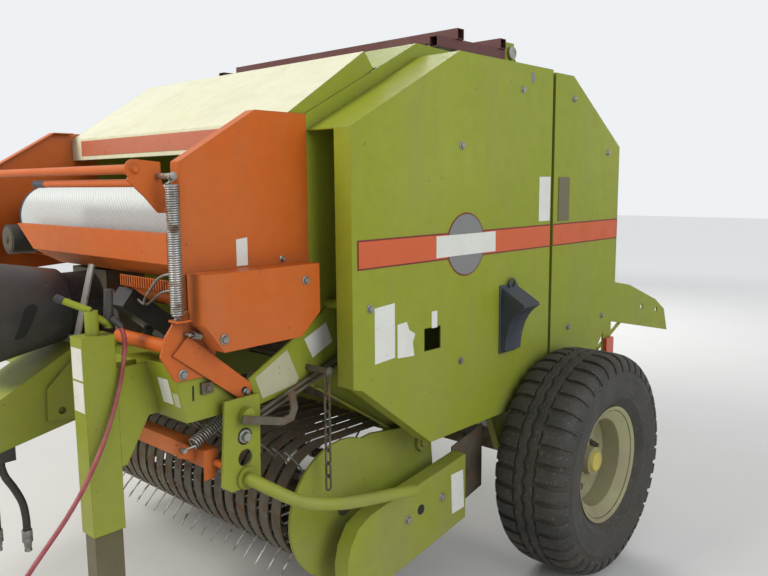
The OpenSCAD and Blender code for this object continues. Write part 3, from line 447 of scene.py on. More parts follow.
def cable_sheath(name):
    """Red sheath that has faded and picked up dust."""
    m = Paint(name)
    tone = m.span(m.noise(30.0, 5.0), 0.38, 0.7)
    color = m.mix(tone, (0.27, 0.033, 0.042), (0.36, 0.080, 0.086))
    dull = m.span(m.noise(9.0, 6.0, seed=3.0), 0.48, 0.72)
    color = m.layer(color, dull, 0.4, DUST)
    m.bump(m.noise(220.0, 3.0, seed=2.0), 0.15, 0.0005)
    return m.finish(color, m.span(dull, 0.0, 1.0, 0.42, 0.75))


GREEN = field_paint("green_paint", (0.272, 0.310, 0.020), (0.325, 0.355, 0.045), dust=0.38)
ORANGE = field_paint("orange_paint", (0.60, 0.118, 0.008), (0.56, 0.145, 0.028), dust=0.25, low=0.6, high=1.5)
CREAM = field_paint("cream_paint", (0.80, 0.79, 0.54), (0.86, 0.85, 0.68), dust=0.25, low=1.4, high=1.7, chips=0.4)
MAROON = field_paint("maroon_paint", (0.115, 0.028, 0.036), (0.15, 0.052, 0.055), dust=0.3, low=1.6, high=2.2)
# Dark olive for the jack's inner leg: partly dirt on the steel, partly painted shadow of the machine over the post's
# lower end
LEG_DIRT_AND_SHADOW = field_paint("leg_dirt_and_shadow", (0.100, 0.092, 0.034), (0.125, 0.108, 0.060), dust=0.55, chips=0.9, low=0.1, high=0.8)
RIM = field_paint("rim_paint", (0.37, 0.37, 0.20), (0.42, 0.40, 0.20), dust=0.75, rough=0.5, low=0.3, high=0.9)
STEEL = worn_steel("bare_steel", (0.46, 0.455, 0.43), 0.85, 0.3)
DIRTY = worn_steel("dirty_steel", (0.13, 0.118, 0.085), 0.35, 0.6, rough=0.52, dusty=0.30)
ZINC = worn_steel("zinc_bolts", (0.40, 0.41, 0.38), 0.8, 0.15, rough=0.38, dusty=0.15)
TYRE = tyre_rubber("tyre_rubber")
HOSE = moulded("hose_rubber", (0.018, 0.018, 0.018), rough=0.42, dusty=0.22)
PLASTIC = moulded("black_plastic", (0.022, 0.022, 0.023), rough=0.34, dusty=0.25)
CHOCK = moulded("chock_plastic", (0.022, 0.028, 0.042), dusty=0.2)
# Painted shade: near-black for the shaded inside of holes and slots
HOLE_SHADE = moulded("hole_shade", (0.006, 0.006, 0.006), rough=0.8, dusty=0.05)
YELLOW = moulded("hub_cap", (0.36, 0.30, 0.05), rough=0.5, dusty=0.5)
LENS = lens("red_lens", (0.62, 0.055, 0.015))
CABLE = cable_sheath("cable_sheath")
NET = net_film("net_film")
WHITE = vinyl("blank_sign", (0.74, 0.74, 0.68))
PALE = vinyl("pale_label", (0.48, 0.47, 0.30), dirt=0.5, rough=0.5)
STRIPE = vinyl("stripe_film", (0.60, 0.105, 0.028), dirt=0.12)
STRIPE_EDGE = vinyl("stripe_edge", (0.16, 0.012, 0.012), dirt=0.1)
GREY = vinyl("grey_film", (0.20, 0.20, 0.20), dirt=0.2)
HOOD_BAND = vinyl("hood_band", (0.56, 0.16, 0.085), dirt=0.35)
TAG = vinyl("faded_plate", (0.13, 0.115, 0.055), dirt=0.4)

LOOKS = {
    "green_paint": GREEN, "orange_paint": ORANGE, "cream_paint": CREAM, "maroon_paint": MAROON,
    "bare_steel": STEEL, "dirty_steel": DIRTY, "tyre_rubber": TYRE, "rim_paint": RIM, "hose_rubber": HOSE,
    "black_plastic": PLASTIC, "red_plastic": LENS, "red_cable": CABLE, "net_wrap": NET,
}
for part in frame["record"]["subparts"]:
    obj = nodes.get(part["node"])
    if obj is not None:
        for s in obj.material_slots:
            s.material = LOOKS[part["material_slot"]]
# The jack's inner leg gets the dark olive that is partly dirt and partly painted shadow
for s in nodes["jack_leg"].material_slots:
    s.material = LEG_DIRT_AND_SHADOW


# Cords: the red cable with its coil and plug, and two hydraulic hoses

CABLE_D = 0.012
cable_route = route([
    (481.6, -1630, 1131), (497.6, -1622.1, 1117.9), (508.2, -1616.9, 1099), (512, -1615, 1077),
    (512.2, -1617, 1050), (512.6, -1624, 1012), (516, -1645, 940), (522, -1686, 840), (530, -1743, 745),
    (540, -1810, 665), (555, -1925, 555), (565, -2020, 440), (570, -2085, 320), (566, -2118, 200),
    (559.1, -2129, 152.8), (552.2, -2140, 105.6), (545.3, -2151.2, 57.9), (539.9, -2159.8, 36.3),
    (530.8, -2174.3, 19.2), (519.1, -2193, 8.9), (509.6, -2208.7, 6.5), (503.7, -2224.9, 6.5),
])

COIL_MID = at(0.424, -2.240, 0)
COIL_R = 0.078
COIL_STEPS = 24
COIL_END = 99
LOW_Z = 0.0065
HIGH_Z = LOW_Z + CABLE_D
# Turns at which the cable moves in by its own thickness, moves out again and climbs on itself, and how long each takes
MOVES_IN = (0.66, 1.66)
MOVES_OUT = (2.96, 3.66)
CLIMBS = 2.30
MOVE = 0.34


def eased(t, start, width):
    """Goes smoothly from 0 to 1 while t passes a stretch."""
    u = min(1.0, max(0.0, (t - start) / width))
    return u * u * (3 - 2 * u)


coil = []
for i in range(COIL_END + 1):
    t = i / COIL_STEPS
    inward = sum(eased(t, s, MOVE) for s in MOVES_IN) - sum(eased(t, s, MOVE) for s in MOVES_OUT)
    r = COIL_R - CABLE_D * inward
    z = LOW_Z + CABLE_D * eased(t, CLIMBS, MOVE)
    coil.append(COIL_MID + Vector((r * math.cos(math.tau * t), -r * math.sin(math.tau * t), z)))

# The end leaves the coil in one arc and comes back over it to the plug in a second one
PLUG_FOOT = Vector((-0.060, -0.030, 0.0378))
tail_plan = [(0.1082, -0.1082, 0.0750, angle) for angle in (149.3, 163.6)]
tail_plan += [(-0.0192, -0.0708, 0.0577, -16.36 - 16.05 * i) for i in range(1, 14)]
tail = []
for i, (x, y, r, angle) in enumerate(tail_plan):
    a = math.radians(angle)
    z = HIGH_Z + (PLUG_FOOT.z - HIGH_Z) * eased(i, 0, len(tail_plan) - 3)
    tail.append(COIL_MID + Vector((x + r * math.cos(a), y + r * math.sin(a), z)))
cable_path = spline(cable_route + coil + tail, 4)

cable = Shape().tube(cable_path, CABLE_D / 2, 12).done("red_cable_run", CABLE, "root", "red_cable", smooth=60)
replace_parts(cable, "red_cable", "red_coil")
relief = Shape().lathe(
    cable_path[0], cable_path[1] - cable_path[0],
    [(0, 0), (0.0105, 0), (0.0105, 0.010), (0.0085, 0.016), (0.0080, 0.030), (0.0066, 0.034), (0.0061, 0.036)], 20,
).done("cable_relief", PLASTIC, "root", "black_plastic")
plug = Shape().lathe(
    COIL_MID + PLUG_FOOT, (1, 1, 0),
    [(0.0061, -0.010), (0.0070, -0.009), (0.0090, 0.0), (0.013, 0.004), (0.013, 0.030), (0.0115, 0.032),
     (0.0115, 0.036), (0.013, 0.038), (0.013, 0.052), (0.010, 0.056), (0.010, 0.070), (0.0075, 0.070),
     (0.0075, 0.062), (0, 0.062)], 24,
).done("cable_plug", PLASTIC, "root", "black_plastic")
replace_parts(plug, "red_plug")

HOSE_D = 0.022
HOSE_ROUTES = {
    "a": [(80, -1785, 690), (80, -1785, 672), (80, -1776, 640), (80, -1755, 600), (80, -1735, 550),
          (80, -1728, 500), (80, -1728, 460)],
    "b": [(-30, -1795, 690), (-30, -1795, 668), (-30, -1789, 630), (-30, -1777, 580), (-30, -1772, 520),
          (-30, -1772, 440)],
}
COUPLER = [
    (0, -0.004), (0.0145, -0.004), (0.0150, 0.004), (0.0150, 0.018), (0.0138, 0.020), (0.0150, 0.022), (0.0150, 0.033),
    (0.011, 0.034), (0.011, 0.045), (0.0098, 0.047), (0.0098, 0.055), (0.0108, 0.057), (0.0108, 0.062), (0, 0.062),
]
for key, points in HOSE_ROUTES.items():
    path = spline(route(points), 5)
    fitting = Shape().lathe(path[-1], (0, 0, -1), COUPLER, 20)
    fitting = fitting.done(f"hose_fitting_{key}", STEEL, "root", "bare_steel")
    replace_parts(fitting, "hose_couplers")
    hose = Shape().tube(path, HOSE_D / 2, 14).done(f"hose_{key}_run", HOSE, "root", "hose_rubber", smooth=60)
    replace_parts(hose, f"hose_{key}")


# Wheels

WHEEL_X = 0.965
WHEEL_Z = 0.42
# Half of the tyre's section without its tread, as (radius, distance from the middle)
TYRE_HALF = [
    (0.407, 0.0), (0.4065, 0.05), (0.404, 0.09), (0.398, 0.112), (0.384, 0.128), (0.356, 0.1385), (0.338, 0.1420),
    (0.334, 0.1438), (0.330, 0.1425), (0.305, 0.1425), (0.285, 0.139), (0.262, 0.1325), (0.258, 0.1335),
    (0.254, 0.1305), (0.240, 0.1215), (0.228, 0.1085), (0.216, 0.1045), (0.204, 0.1043),
]
TYRE_STEPS = 112
# The tread's lugs on each half, their half widths by turns as shares of their pitch, and how their tops are formed
LUGS = 40
LUG_WIDTHS = (0.33, 0.36)
LUG_ACROSS = (-1.0, -0.94, 0.0, 0.94, 1.0)
LUG_CHAMFER = 0.0018
LUG_LEAN = 0.035 / 0.05
LUG_MIDDLE = 0.09
LUG_FLARE = 0.10
FLARE_ENDS = 0.06
# A lug's top and foot, as (distance from the middle, radius)
LUG_TOP = [
    (0.046, 0.4185), (0.074, 0.4180), (0.098, 0.4150), (0.118, 0.4060), (0.131, 0.3930), (0.1385, 0.3780),
    (0.1425, 0.3600),
]
LUG_FOOT = [
    (0.044, 0.4040), (0.074, 0.4030), (0.094, 0.4000), (0.110, 0.3920), (0.122, 0.3800), (0.131, 0.3650),
    (0.1385, 0.3540),
]
# The two zigzag ribs round the tyre's middle
RIB_PLACES = (-0.0205, 0.0205)
RIB_STEPS = 160
RIB_ZIGZAG = 0.0055
RIB = [(-0.0155, 0.405), (-0.0125, 0.4188), (0.0, 0.4195), (0.0125, 0.4188), (0.0155, 0.405)]


def tyre(side, word):
    """The tyre with its leaning lugs, whose tops are chamfered and flare towards the middle, and its two ribs."""
    hub = at(side * WHEEL_X, 0, WHEEL_Z)

    def spot(r, h, a):
        return hub + Vector((side * h, r * math.cos(a), r * math.sin(a)))

    profile = [(r, -h) for r, h in TYRE_HALF[::-1]] + TYRE_HALF[1:]
    shape = Shape().lathe(hub, (side, 0, 0), profile, TYRE_STEPS)
    pitch = math.tau / LUGS
    for sign in (1, -1):
        for i in range(LUGS):
            middle = i * pitch + (0.5 * pitch if sign < 0 else 0)
            wide = pitch * LUG_WIDTHS[i % 2]
            rings = []
            for t in LUG_ACROSS:
                chamfer = LUG_CHAMFER if abs(t) == 1.0 else 0.0
                ring = []
                for h, r in LUG_TOP:
                    lean = LUG_LEAN * (h - LUG_MIDDLE) * sign * pitch
                    flare = 1.0 + LUG_FLARE * (h < FLARE_ENDS)
                    ring.append(spot(r - chamfer, sign * h, middle + t * wide * flare + lean))
                ring += [spot(r, sign * h, middle + t * wide) for h, r in reversed(LUG_FOOT)]
                rings.append(ring)
            shape.rings(rings)
    for place in RIB_PLACES:
        rings = []
        for i in range(RIB_STEPS):
            a = i * math.tau / RIB_STEPS
            zigzag = RIB_ZIGZAG * (abs((i % 4) - 2) - 1)
            rings.append([spot(r, place + h + zigzag, a) for h, r in RIB])
        shape.rings(rings, closed=True)
    obj = shape.done(f"tyre_tread_{word}", TYRE, f"wheel_{word}", "tyre_rubber", smooth=38)
    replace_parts(obj, f"tyre_{word}")


# The wheel nuts' count, the circle they lie on, their size and how far inside the hub's middle they sit
NUTS = 6
NUT_RING = 0.1025
NUT_WIDTH, NUT_HEIGHT = 0.024, 0.020
NUT_DEPTH = -0.013
STUD = [(0, 0.018), (0.0085, 0.018), (0.0085, 0.032), (0.0070, 0.034), (0, 0.034)]
VALVE = [(0, 0), (0.004, 0), (0.004, 0.030), (0.003, 0.034), (0, 0.034)]
HUB_CAP = [
    (0, 0), (0.049, 0), (0.049, 0.003), (0.043, 0.006), (0.040, 0.020), (0.036, 0.027), (0.020, 0.031), (0, 0.032),
]


def wheel_trim(side, word):
    """Wheel nuts with their studs, the valve and the hub's cap."""
    hub = at(side * WHEEL_X, 0, WHEEL_Z)
    out = Vector((side, 0, 0))
    nuts = Shape()
    for k in range(NUTS):
        towards = polar(Vector((0, 1, 0)), Vector((0, 0, 1)), math.tau * (k + 0.25) / NUTS)
        place = hub + out * NUT_DEPTH + towards * NUT_RING
        nuts.bolt(place, out, NUT_WIDTH, NUT_HEIGHT)
        nuts.lathe(place, out, STUD, 12)
    nuts.lathe(hub + out * -0.012 + Vector((0, 0, -0.150)), (0.5 * side, 0, 0.85), VALVE, 12)
    nuts.done(f"wheel_nuts_{word}", DIRTY, f"wheel_{word}", "dirty_steel")
    Shape().lathe(hub + out * 0.040, out, HUB_CAP, 36).done(f"hub_cap_{word}", YELLOW, f"wheel_{word}", "rim_paint")


for side, word in SIDES:
    tyre(side, word)
    wheel_trim(side, word)


# Coil springs

HELIX_STEPS = 14


def helix(a, b, r, turns, eye):
    """A close coil between two points, with straight ends that reach both points."""
    axis, u, v = across(b - a)
    length = (b - a).length
    points = [a, a + axis * (eye * 0.35)]
    steps = turns * HELIX_STEPS
    for i in range(steps + 1):
        t = i / steps
        points.append(a + axis * (eye + (length - 2 * eye) * t) + polar(u, v, t * turns * math.tau) * r)
    points += [b - axis * (eye * 0.35), b]
    return points


# The net brake's long springs, each with an eye at both ends and a headed pin through the top one
NET_SPRING_X, NET_SPRING_Y = 0.655, -1.546
NET_SPRING_HEIGHTS = (1.489, 1.136)
NET_PIN_Z = 1.495
NET_PIN_ENDS = (0.590, 0.667)
SPRING_EYE = [(0.004, -0.0026), (0.009, -0.0026), (0.009, 0.0026), (0.004, 0.0026)]
PIN_HEAD = [(0.007, -0.006), (0.0095, -0.006), (0.0095, 0), (0, 0.001)]
springs = Shape()
for sx, _ in SIDES:
    ends = [at(sx * NET_SPRING_X, NET_SPRING_Y, z) for z in NET_SPRING_HEIGHTS]
    springs.tube(helix(*ends, 0.0145, 56, 0.014), 0.0026, 6)
    for p in ends:
        springs.lathe(p, OUTWARD, SPRING_EYE, 14, closed=True)
    pin = [at(sx * x, NET_SPRING_Y, NET_PIN_Z) for x in NET_PIN_ENDS]
    springs.tube(pin, 0.007, 16)
    springs.lathe(pin[1], (sx, 0, 0), PIN_HEAD, 16)
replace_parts(springs.done("net_coil_springs", STEEL, "root", "bare_steel", smooth=60), "net_springs")

# The crop bar's pull springs, with a pin across each end and a lug that holds the upper pin
PULL_X = 0.592
PULL_ENDS = ((-1.505, 0.768), (-1.345, 0.842))
LUG_FACES = (0.566, 0.574)
pull = Shape()
for sx, _ in SIDES:
    ends = [at(sx * PULL_X, y, z) for y, z in PULL_ENDS]
    pull.tube(helix(*ends, 0.0145, 15, 0.028), 0.0028, 7)
    for p in ends:
        pull.tube([p + Vector((-sx * 0.018, 0, 0)), p + Vector((sx * 0.006, 0, 0))], 0.006, 12)
    lug = sorted(sx * x for x in LUG_FACES)
    pull.box((lug[0], -1.360, 0.826), (lug[1], -1.330, 0.856))
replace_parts(pull.done("pickup_coil_springs", STEEL, "root", "bare_steel", smooth=60), "pickup_springs")


# The pickup's reel, with its shaft, spiders and tine bars, and the tines wound on the bars

REEL = at(0, -0.990, 0.462)
REEL_BARS = 4
FIRST_BAR = math.radians(40)
BAR_R = 0.140
SPIDERS = (-0.608, -0.006, 0.596)
SPIDER_THICK = Vector((0.012, 0, 0))
GAPS = 20
GAP_PITCH = 0.060
LAST_TINE_X = 0.5985
TINE_STEPS = 36
TINE_TURNS = 2.5


def on_reel(r, a, x):
    return REEL + Vector((x, r * math.cos(a), r * math.sin(a)))


bars = [FIRST_BAR + k * math.tau / REEL_BARS for k in range(REEL_BARS)]
reel = Shape()
reel.tube([on_reel(0, 0, -0.674), on_reel(0, 0, 0.674)], 0.025, 20)
for x in SPIDERS:
    for a in bars:
        half = Vector((0, -math.sin(a), math.cos(a))) * 0.024
        ring = [
            on_reel(0.018, a, x) + half, on_reel(0.148, a, x) + half * 0.8, on_reel(0.156, a, x) + half * 0.4,
            on_reel(0.156, a, x) - half * 0.4, on_reel(0.148, a, x) - half * 0.8, on_reel(0.018, a, x) - half,
        ]
        reel.rings([ring, [p + SPIDER_THICK for p in ring]])
tines = Shape()
for a in bars:
    radial = Vector((0, math.cos(a), math.sin(a)))
    sideways = Vector((0, -math.sin(a), math.cos(a)))
    reel.tube([on_reel(BAR_R, a, -0.600), on_reel(BAR_R, a, 0.600)], 0.013, 14)
    for i in range(GAPS + 1):
        x = (i - GAPS / 2) * GAP_PITCH
        if i in (0, GAPS):
            x = math.copysign(LAST_TINE_X, x)
        hand = -1 if x > 0 else 1
        mid = on_reel(BAR_R, a, x)
        points = []
        for j in range(TINE_STEPS + 1):
            t = j / TINE_STEPS
            wound = polar(radial, sideways, t * TINE_TURNS * math.tau) * -0.0165
            points.append(mid + Vector((hand * 0.0190 * (1 - t), 0, 0)) + wound)
        foot, tip = points[-1], on_reel(0.275, a, x)
        leg = [foot.lerp(tip, t) + sideways * (-0.006 * math.sin(t * math.pi)) for t in (0.10, 0.35, 0.65, 0.90, 1.0)]
        tines.tube(points + leg, [0.0030] * (len(points) + 4) + [0.0022], 6)
        if i % 2 and 1 < i < GAPS - 1:
            tines.bolt(on_reel(0.153, a, x - hand * GAP_PITCH / 3), radial, 0.013, 0.007)
reel_obj = reel.done("reel_shaft", DIRTY, "reel", "dirty_steel", bevel=0.001)
tines.done("spring_tines", STEEL, "reel", "bare_steel", smooth=60)
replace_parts(reel_obj, "tine_reel")


# Chains and guard tubes beside the pickup

CHAIN_X, CHAIN_Y, CHAIN_TOP = 0.724, -1.105, 0.932
CHAIN_PIN = (0.640, 0.736)
LINKS = 9
FIRST_LINK = 0.019
LINK_PITCH = 0.040
LINK_STEPS = 20
# A link's two half circles, and how far each one's centre lies from the link's middle
LINK_R = 0.0095
LINK_HALF = 0.0135
links = Shape()
for sx, _ in SIDES:
    for i in range(LINKS):
        mid = at(sx * CHAIN_X, CHAIN_Y, CHAIN_TOP - FIRST_LINK - i * LINK_PITCH)
        flat = Vector((0, 1, 0)) if i % 2 == 0 else Vector((1, 0, 0))
        loop = []
        for j in range(LINK_STEPS):
            a = j * math.tau / LINK_STEPS
            half = LINK_HALF if math.sin(a) > 0 else -LINK_HALF
            loop.append(mid + polar(flat, Vector((0, 0, 1)), a) * LINK_R + Vector((0, 0, half)))
        links.tube(loop, 0.0034, 8, closed=True)
    pin = [at(sx * x, CHAIN_Y, CHAIN_TOP) for x in CHAIN_PIN]
    links.tube(pin, 0.009, 16)
    links.bolt(pin[1], (sx, 0, 0), 0.019, 0.006)
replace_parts(links.done("chain_links", DIRTY, "root", "dirty_steel", smooth=60), "lift_chains")

GUARD_ROUTE = [
    (676, -1362, 672), (700, -1362, 672), (742, -1338, 652), (790, -1270, 607), (828, -1180, 582), (848, -1080, 566),
    (856, -960, 549), (862, -872, 534),
]
bent = Shape()
for sx, _ in SIDES:
    bent.tube(spline([Vector((sx * p.x, p.y, p.z)) for p in route(GUARD_ROUTE)], 6), 0.018, 20)
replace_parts(bent.done("bent_guards", GREEN, "root", "green_paint", smooth=50), "guard_tubes")


# Stripes and blank signs


def sign(name, material, slot, x, corners, body="root", lift=0.0008, both=False):
    """A thin plate on a side face, from its corners (y, z), with its foot sunk into the paint."""
    shape = Shape().slab(x - 0.0004, x + lift, corners)
    if both:
        shape.mirror()
    return shape.done(name, material, body, slot)


def stripe(end, body, y0, y1, edge_y0, edge_y1):
    """A length of the orange stripe, on a dark film that shows as its edge."""
    sign(f"stripe_edge_{end}", STRIPE_EDGE, "orange_paint", COVER, rect(edge_y0, edge_y1, 1.228, 1.314), body,
         lift=0.0007, both=True)
    sign(f"stripe_{end}", STRIPE, "orange_paint", COVER, rect(y0, y1, 1.233, 1.309), body, lift=0.0011, both=True)


stripe("front", "root", -1.056, -0.012, -1.062, -0.012)
stripe("tail", "tailgate", 0.012, 0.550, 0.012, 0.556)

# The round badge on the stripe and the blank plate across it
BADGE_Y, BADGE_Z = -0.549, 1.2715
for name, material, slot, r, lift in (
    ("disc_edge", STRIPE_EDGE, "orange_paint", 0.1045, 0.0013), ("disc_face", GREY, "bare_steel", 0.1000, 0.0016),
):
    sign(name, material, slot, COVER, ellipse(BADGE_Y, BADGE_Z, r, r, 64), lift=lift, both=True)
sign("centre_plate", WHITE, "net_wrap", COVER, rect(-0.707, -0.380, 1.237, 1.306), lift=0.0022, both=True)

# Signs on the left side cover, its door and the jack's post
sign("front_sign", WHITE, "net_wrap", COVER, [(-0.993, 0.945), (-0.905, 0.951), (-0.905, 1.118), (-0.993, 1.112)])
sign("torn_sign", WHITE, "net_wrap", COVER, [
    (-0.893, 0.946), (-0.815, 0.941), (-0.822, 0.985), (-0.810, 1.010), (-0.838, 1.026), (-0.850, 1.053),
    (-0.893, 1.050),
])
sign("small_tag", WHITE, "net_wrap", COVER, rect(-0.729, -0.701, 1.015, 1.069))
sign("rear_sign", WHITE, "net_wrap", COVER, rect(-0.095, -0.016, 1.328, 1.493))
sign("oval_tag", GREY, "bare_steel", COVER, ellipse(-0.150, 1.845, 0.012, 0.020, 24))
sign("tail_plate", TAG, "bare_steel", COVER, rect(0.045, 0.127, 1.323, 1.491), "tailgate", lift=0.003)
for name, z0, z1 in (("jack_sign_high", 0.986, 1.068), ("jack_sign_low", 0.902, 0.980)):
    Shape().box((0.441, -1.7242, z0), (0.495, -1.7226, z1)).done(name, WHITE, "root", "net_wrap")

# The slanted front of the frame's end box, from its top edge to its bottom edge
BOX_TOP, BOX_FOOT = Vector((0, -1.553, 1.016)), Vector((0, -1.518, 0.856))
for name, look, x0, x1, t0, t1 in (
    ("box_sign", WHITE, 0.541, 0.590, 0.28, 0.72), ("box_label", PALE, 0.597, 0.624, 0.50, 0.74),
):
    high, low = BOX_TOP.lerp(BOX_FOOT, t0), BOX_TOP.lerp(BOX_FOOT, t1)
    outline = [(high.y + 0.0004, high.z), (low.y + 0.0004, low.z), (low.y - 0.0011, low.z), (high.y - 0.0011, high.z)]
    Shape().slab(x0, x1, outline).done(name, look, "root", "net_wrap")

sign("frame_label_big", PALE, "net_wrap", PLATE,
     [(-1.300, 0.936), (-1.276, 0.872), (-1.150, 0.890), (-1.140, 0.906), (-1.182, 0.998)])
sign("frame_label_small", WHITE, "net_wrap", PLATE,
     [(-1.115, 1.018), (-1.083, 0.956), (-1.001, 0.993), (-1.027, 1.056)])
sign("net_sign", WHITE, "net_wrap", WALL, [(-1.343, 1.254), (-1.306, 1.254), (-1.306, 1.330), (-1.343, 1.326)])
sign("shield_sign", WHITE, "net_wrap", SHIELD,
     [(-0.608, 0.488), (-0.541, 0.488), (-0.534, 0.350), (-0.602, 0.346)], "pickup")
band = Shape().slab(-0.548, 0.548, rect(-1.1835, -1.1812, 1.585, 1.641))
band.done("hood_band", HOOD_BAND, "root", "orange_paint")


# Small parts round the net bay

drum = [(0, -0.001), (0.044, -0.001), (0.044, 0.002), (0.040, 0.0035), (0.014, 0.0035), (0.012, 0.008), (0, 0.008)]
# The drum face's dark steel colour is partly painted shade
drum_face = Shape().lathe(at(-0.493, -1.500, 1.286), (0, -1, 0), drum, 36)
drum_face.done("drum_face", DIRTY, "root", "dirty_steel")
core = [(0.012, -0.001), (0.036, -0.001), (0.036, 0.005), (0.030, 0.006), (0.012, 0.004)]
roll_core = Shape().lathe(at(-0.428, -1.372, 1.366), (-1, 0, 0), core, 36)
roll_core.done("roll_core", PLASTIC, "net_supply", "black_plastic")
cap = [(0, -0.030), (0.0108, -0.030), (0.0108, 0.040), (0.0095, 0.042), (0, 0.042)]
bar_cap = Shape().lathe(at(0.040, -1.598, 1.478), (-1, 0, 0), cap, 24)
bar_cap.done("bar_cap", CHOCK, "root", "black_plastic")

pipes = Shape()
for r, points in (
    (0.0038, [(328, -1470, 1150), (440, -1515, 1152), (456, -1520, 1168), (490, -1520, 1200), (528, -1518, 1230),
              (570, -1512, 1243), (600, -1500, 1243), (628, -1490, 1240)]),
    (0.0034, [(328, -1455, 1140), (430, -1500, 1148), (470, -1505, 1165), (520, -1505, 1190), (570, -1500, 1198),
              (628, -1490, 1196)]),
):
    pipes.tube(spline(route(points), 5), r, 10)
pipes.done("control_pipes", ZINC, "root", "bare_steel", smooth=60)

lever = Shape()
lever.tube(helix(at(0.662, -1.520, 1.096), at(0.662, -1.474, 1.086), 0.0085, 7, 0.010), 0.0018, 6)
lever.tube([at(0.640, -1.520, 1.096), at(0.668, -1.520, 1.096)], 0.0042, 12)
lever.done("lever_spring", STEEL, "root", "bare_steel", smooth=60)


# Painted shade for holes and slots: near-black sheets where the openings are

holes = Shape()
slit = [(-1.4990, 0.912), (-1.4935, 0.912), (-1.4925, 0.952), (-1.4980, 0.952)]
holes.slab(WALL - 0.0005, WALL + 0.0006, slit)
holes.disc(at(WALL + 0.016, -1.343, 0.912), OUTWARD, 0.0105, 24)
holes.mirror()
holes.done("slot_shade", HOLE_SHADE, "root", "black_plastic")
# Painted shade for the shield's holes
shield_hole_shade = Shape().disc(at(SHIELD, -0.768, 0.418), OUTWARD, 0.017, 32).mirror()
shield_hole_shade.done("shield_hole_shade", HOLE_SHADE, "pickup", "black_plastic")


# The wheel chock in its holder, and other parts that the photograph shows

# The chock's underside curves from its nose past its waist to its foot, given as (x, z)
NOSE, WAIST, FOOT = Vector((0.912, 1.040)), Vector((0.842, 1.000)), Vector((0.836, 0.876))
CURVE_STEPS = 12
profile = [(0.818, 0.876), (0.818, 1.104), (0.912, 1.050)]
for i in range(CURVE_STEPS + 1):
    t = i / CURVE_STEPS
    profile.append(tuple(NOSE.lerp(WAIST, t).lerp(WAIST.lerp(FOOT, t), t)))
block = Shape().rings([[at(x, y, z) for x, z in profile] for y in (-0.342, -0.242)])
block.box((0.812, -0.350, 0.866), (0.818, -0.238, 1.112))
block.box((0.818, -0.336, 1.016), (0.870, -0.343, 1.024))
block.tube([at(0.823, y, z) for y, z in ellipse(-0.283, 1.112, 0.018, 0.018, 20)], 0.005, 8, closed=True)
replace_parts(block.done("chock_block", CHOCK, "root", "black_plastic", bevel=0.002), "chock")

grips = Shape()
grips.tube([at(0.468, -1.6337, 1.128), at(0.468, -1.6287, 1.208)], [0.0122, 0.0118], 20)
grips.tube([at(0.421, -1.726, 1.1836), at(0.4065, -1.7405, 1.1919)], 0.0104, 16)
grips.done("crank_grips", PLASTIC, "root", "black_plastic", bevel=0.001)

hood_side = [(-0.792, 1.8294), (-0.832, 1.878), (-1.182, 1.650), (-1.182, 1.590), (-1.083, 1.630)]
Shape().slab(0.6256, 0.6268, hood_side).mirror().done("hood_side_paint", GREEN, "root", "green_paint")

rods = Shape()
for y0, z0, z1 in ((-1.332, 0.830, 0.972), (-1.325, 0.816, 0.952)):
    rods.tube(spline([at(0.658, y0, z0), at(0.650, y0 + 0.045, z0 + 0.012), at(0.650, -0.960, z1 - 0.020),
                      at(0.644, -0.930, z1 - 0.008), at(0.631, -0.915, z1)], 6), 0.0062, 12)
rods.mirror()
rods.done("lift_rods", DIRTY, "root", "dirty_steel", smooth=60)

GRATE_RIBS = 26
GRATE_PITCH = 0.0125
grate = Shape().box((0.290, -1.500, 1.190), (0.620, -1.495, 1.222))
for i in range(GRATE_RIBS):
    x = 0.296 + i * GRATE_PITCH
    grate.box((x, -1.503, 1.192), (x + 0.005, -1.4995, 1.220))
grate.done("ribbed_bar", ORANGE, "root", "orange_paint")

nut = Shape().box((0.630, -1.474, 0.925), (0.642, -1.438, 0.956))
nut.bolt(at(0.642, -1.456, 0.9405), OUTWARD, 0.016, 0.008)
nut.mirror()
nut.done("box_nuts", DIRTY, "root", "dirty_steel", bevel=0.001)

tongue = [(-1.0405, 0.911), (-0.985, 0.934), (-0.985, 1.128), (-1.0405, 1.090)]
Shape().slab(WALL, PLATE, tongue).mirror().done("plate_tongue", GREEN, "root", "green_paint")


# The shaft guard widens from its start towards the front
BELL_Z = 1.110
BELL_START, BELL_LENGTH = -1.560, 0.228
BELL_START_R, BELL_END_R = 0.112, 0.153
# The slot in it reaches over these angles. Its ends are round, and it leans and narrows a little on its way.
SLOT_MID, SLOT_REACH = -0.125, 0.350
SLOT_STEPS = 24
ROUND_ABOVE, ROUND_BELOW = 0.100, -0.400
SLOT_Y, SLOT_LEAN = -1.694, 0.059
SLOT_HALF, SLOT_TAPER = 0.0205, 0.006


def bell_spot(angle, y, lift):
    """A point on the shaft guard's outside, at an angle from its left side."""
    r = BELL_START_R + (BELL_END_R - BELL_START_R) * (BELL_START - y) / BELL_LENGTH + lift
    return at(r * math.cos(angle), y, BELL_Z + r * math.sin(angle))


slot_rings = []
for i in range(SLOT_STEPS + 1):
    a = SLOT_MID - SLOT_REACH * math.cos(i * math.pi / SLOT_STEPS)
    mid = SLOT_Y + SLOT_LEAN * (a - ROUND_ABOVE)
    past = max(0.0, (a - ROUND_ABOVE) / 0.126, (ROUND_BELOW - a) / 0.076)
    half = (SLOT_HALF + SLOT_TAPER * min(0.0, a - ROUND_ABOVE)) * math.sqrt(1 - min(past, 1.0) ** 2)
    corners = ((mid - half, -0.0006), (mid + half, -0.0006), (mid + half, 0.0008), (mid - half, 0.0008))
    slot_rings.append([bell_spot(a, y, lift) for y, lift in corners])
# Painted shade: a near-black sheet on the guard where its slot is
Shape().rings(slot_rings).done("guard_slot_shade", HOLE_SHADE, "root", "black_plastic")


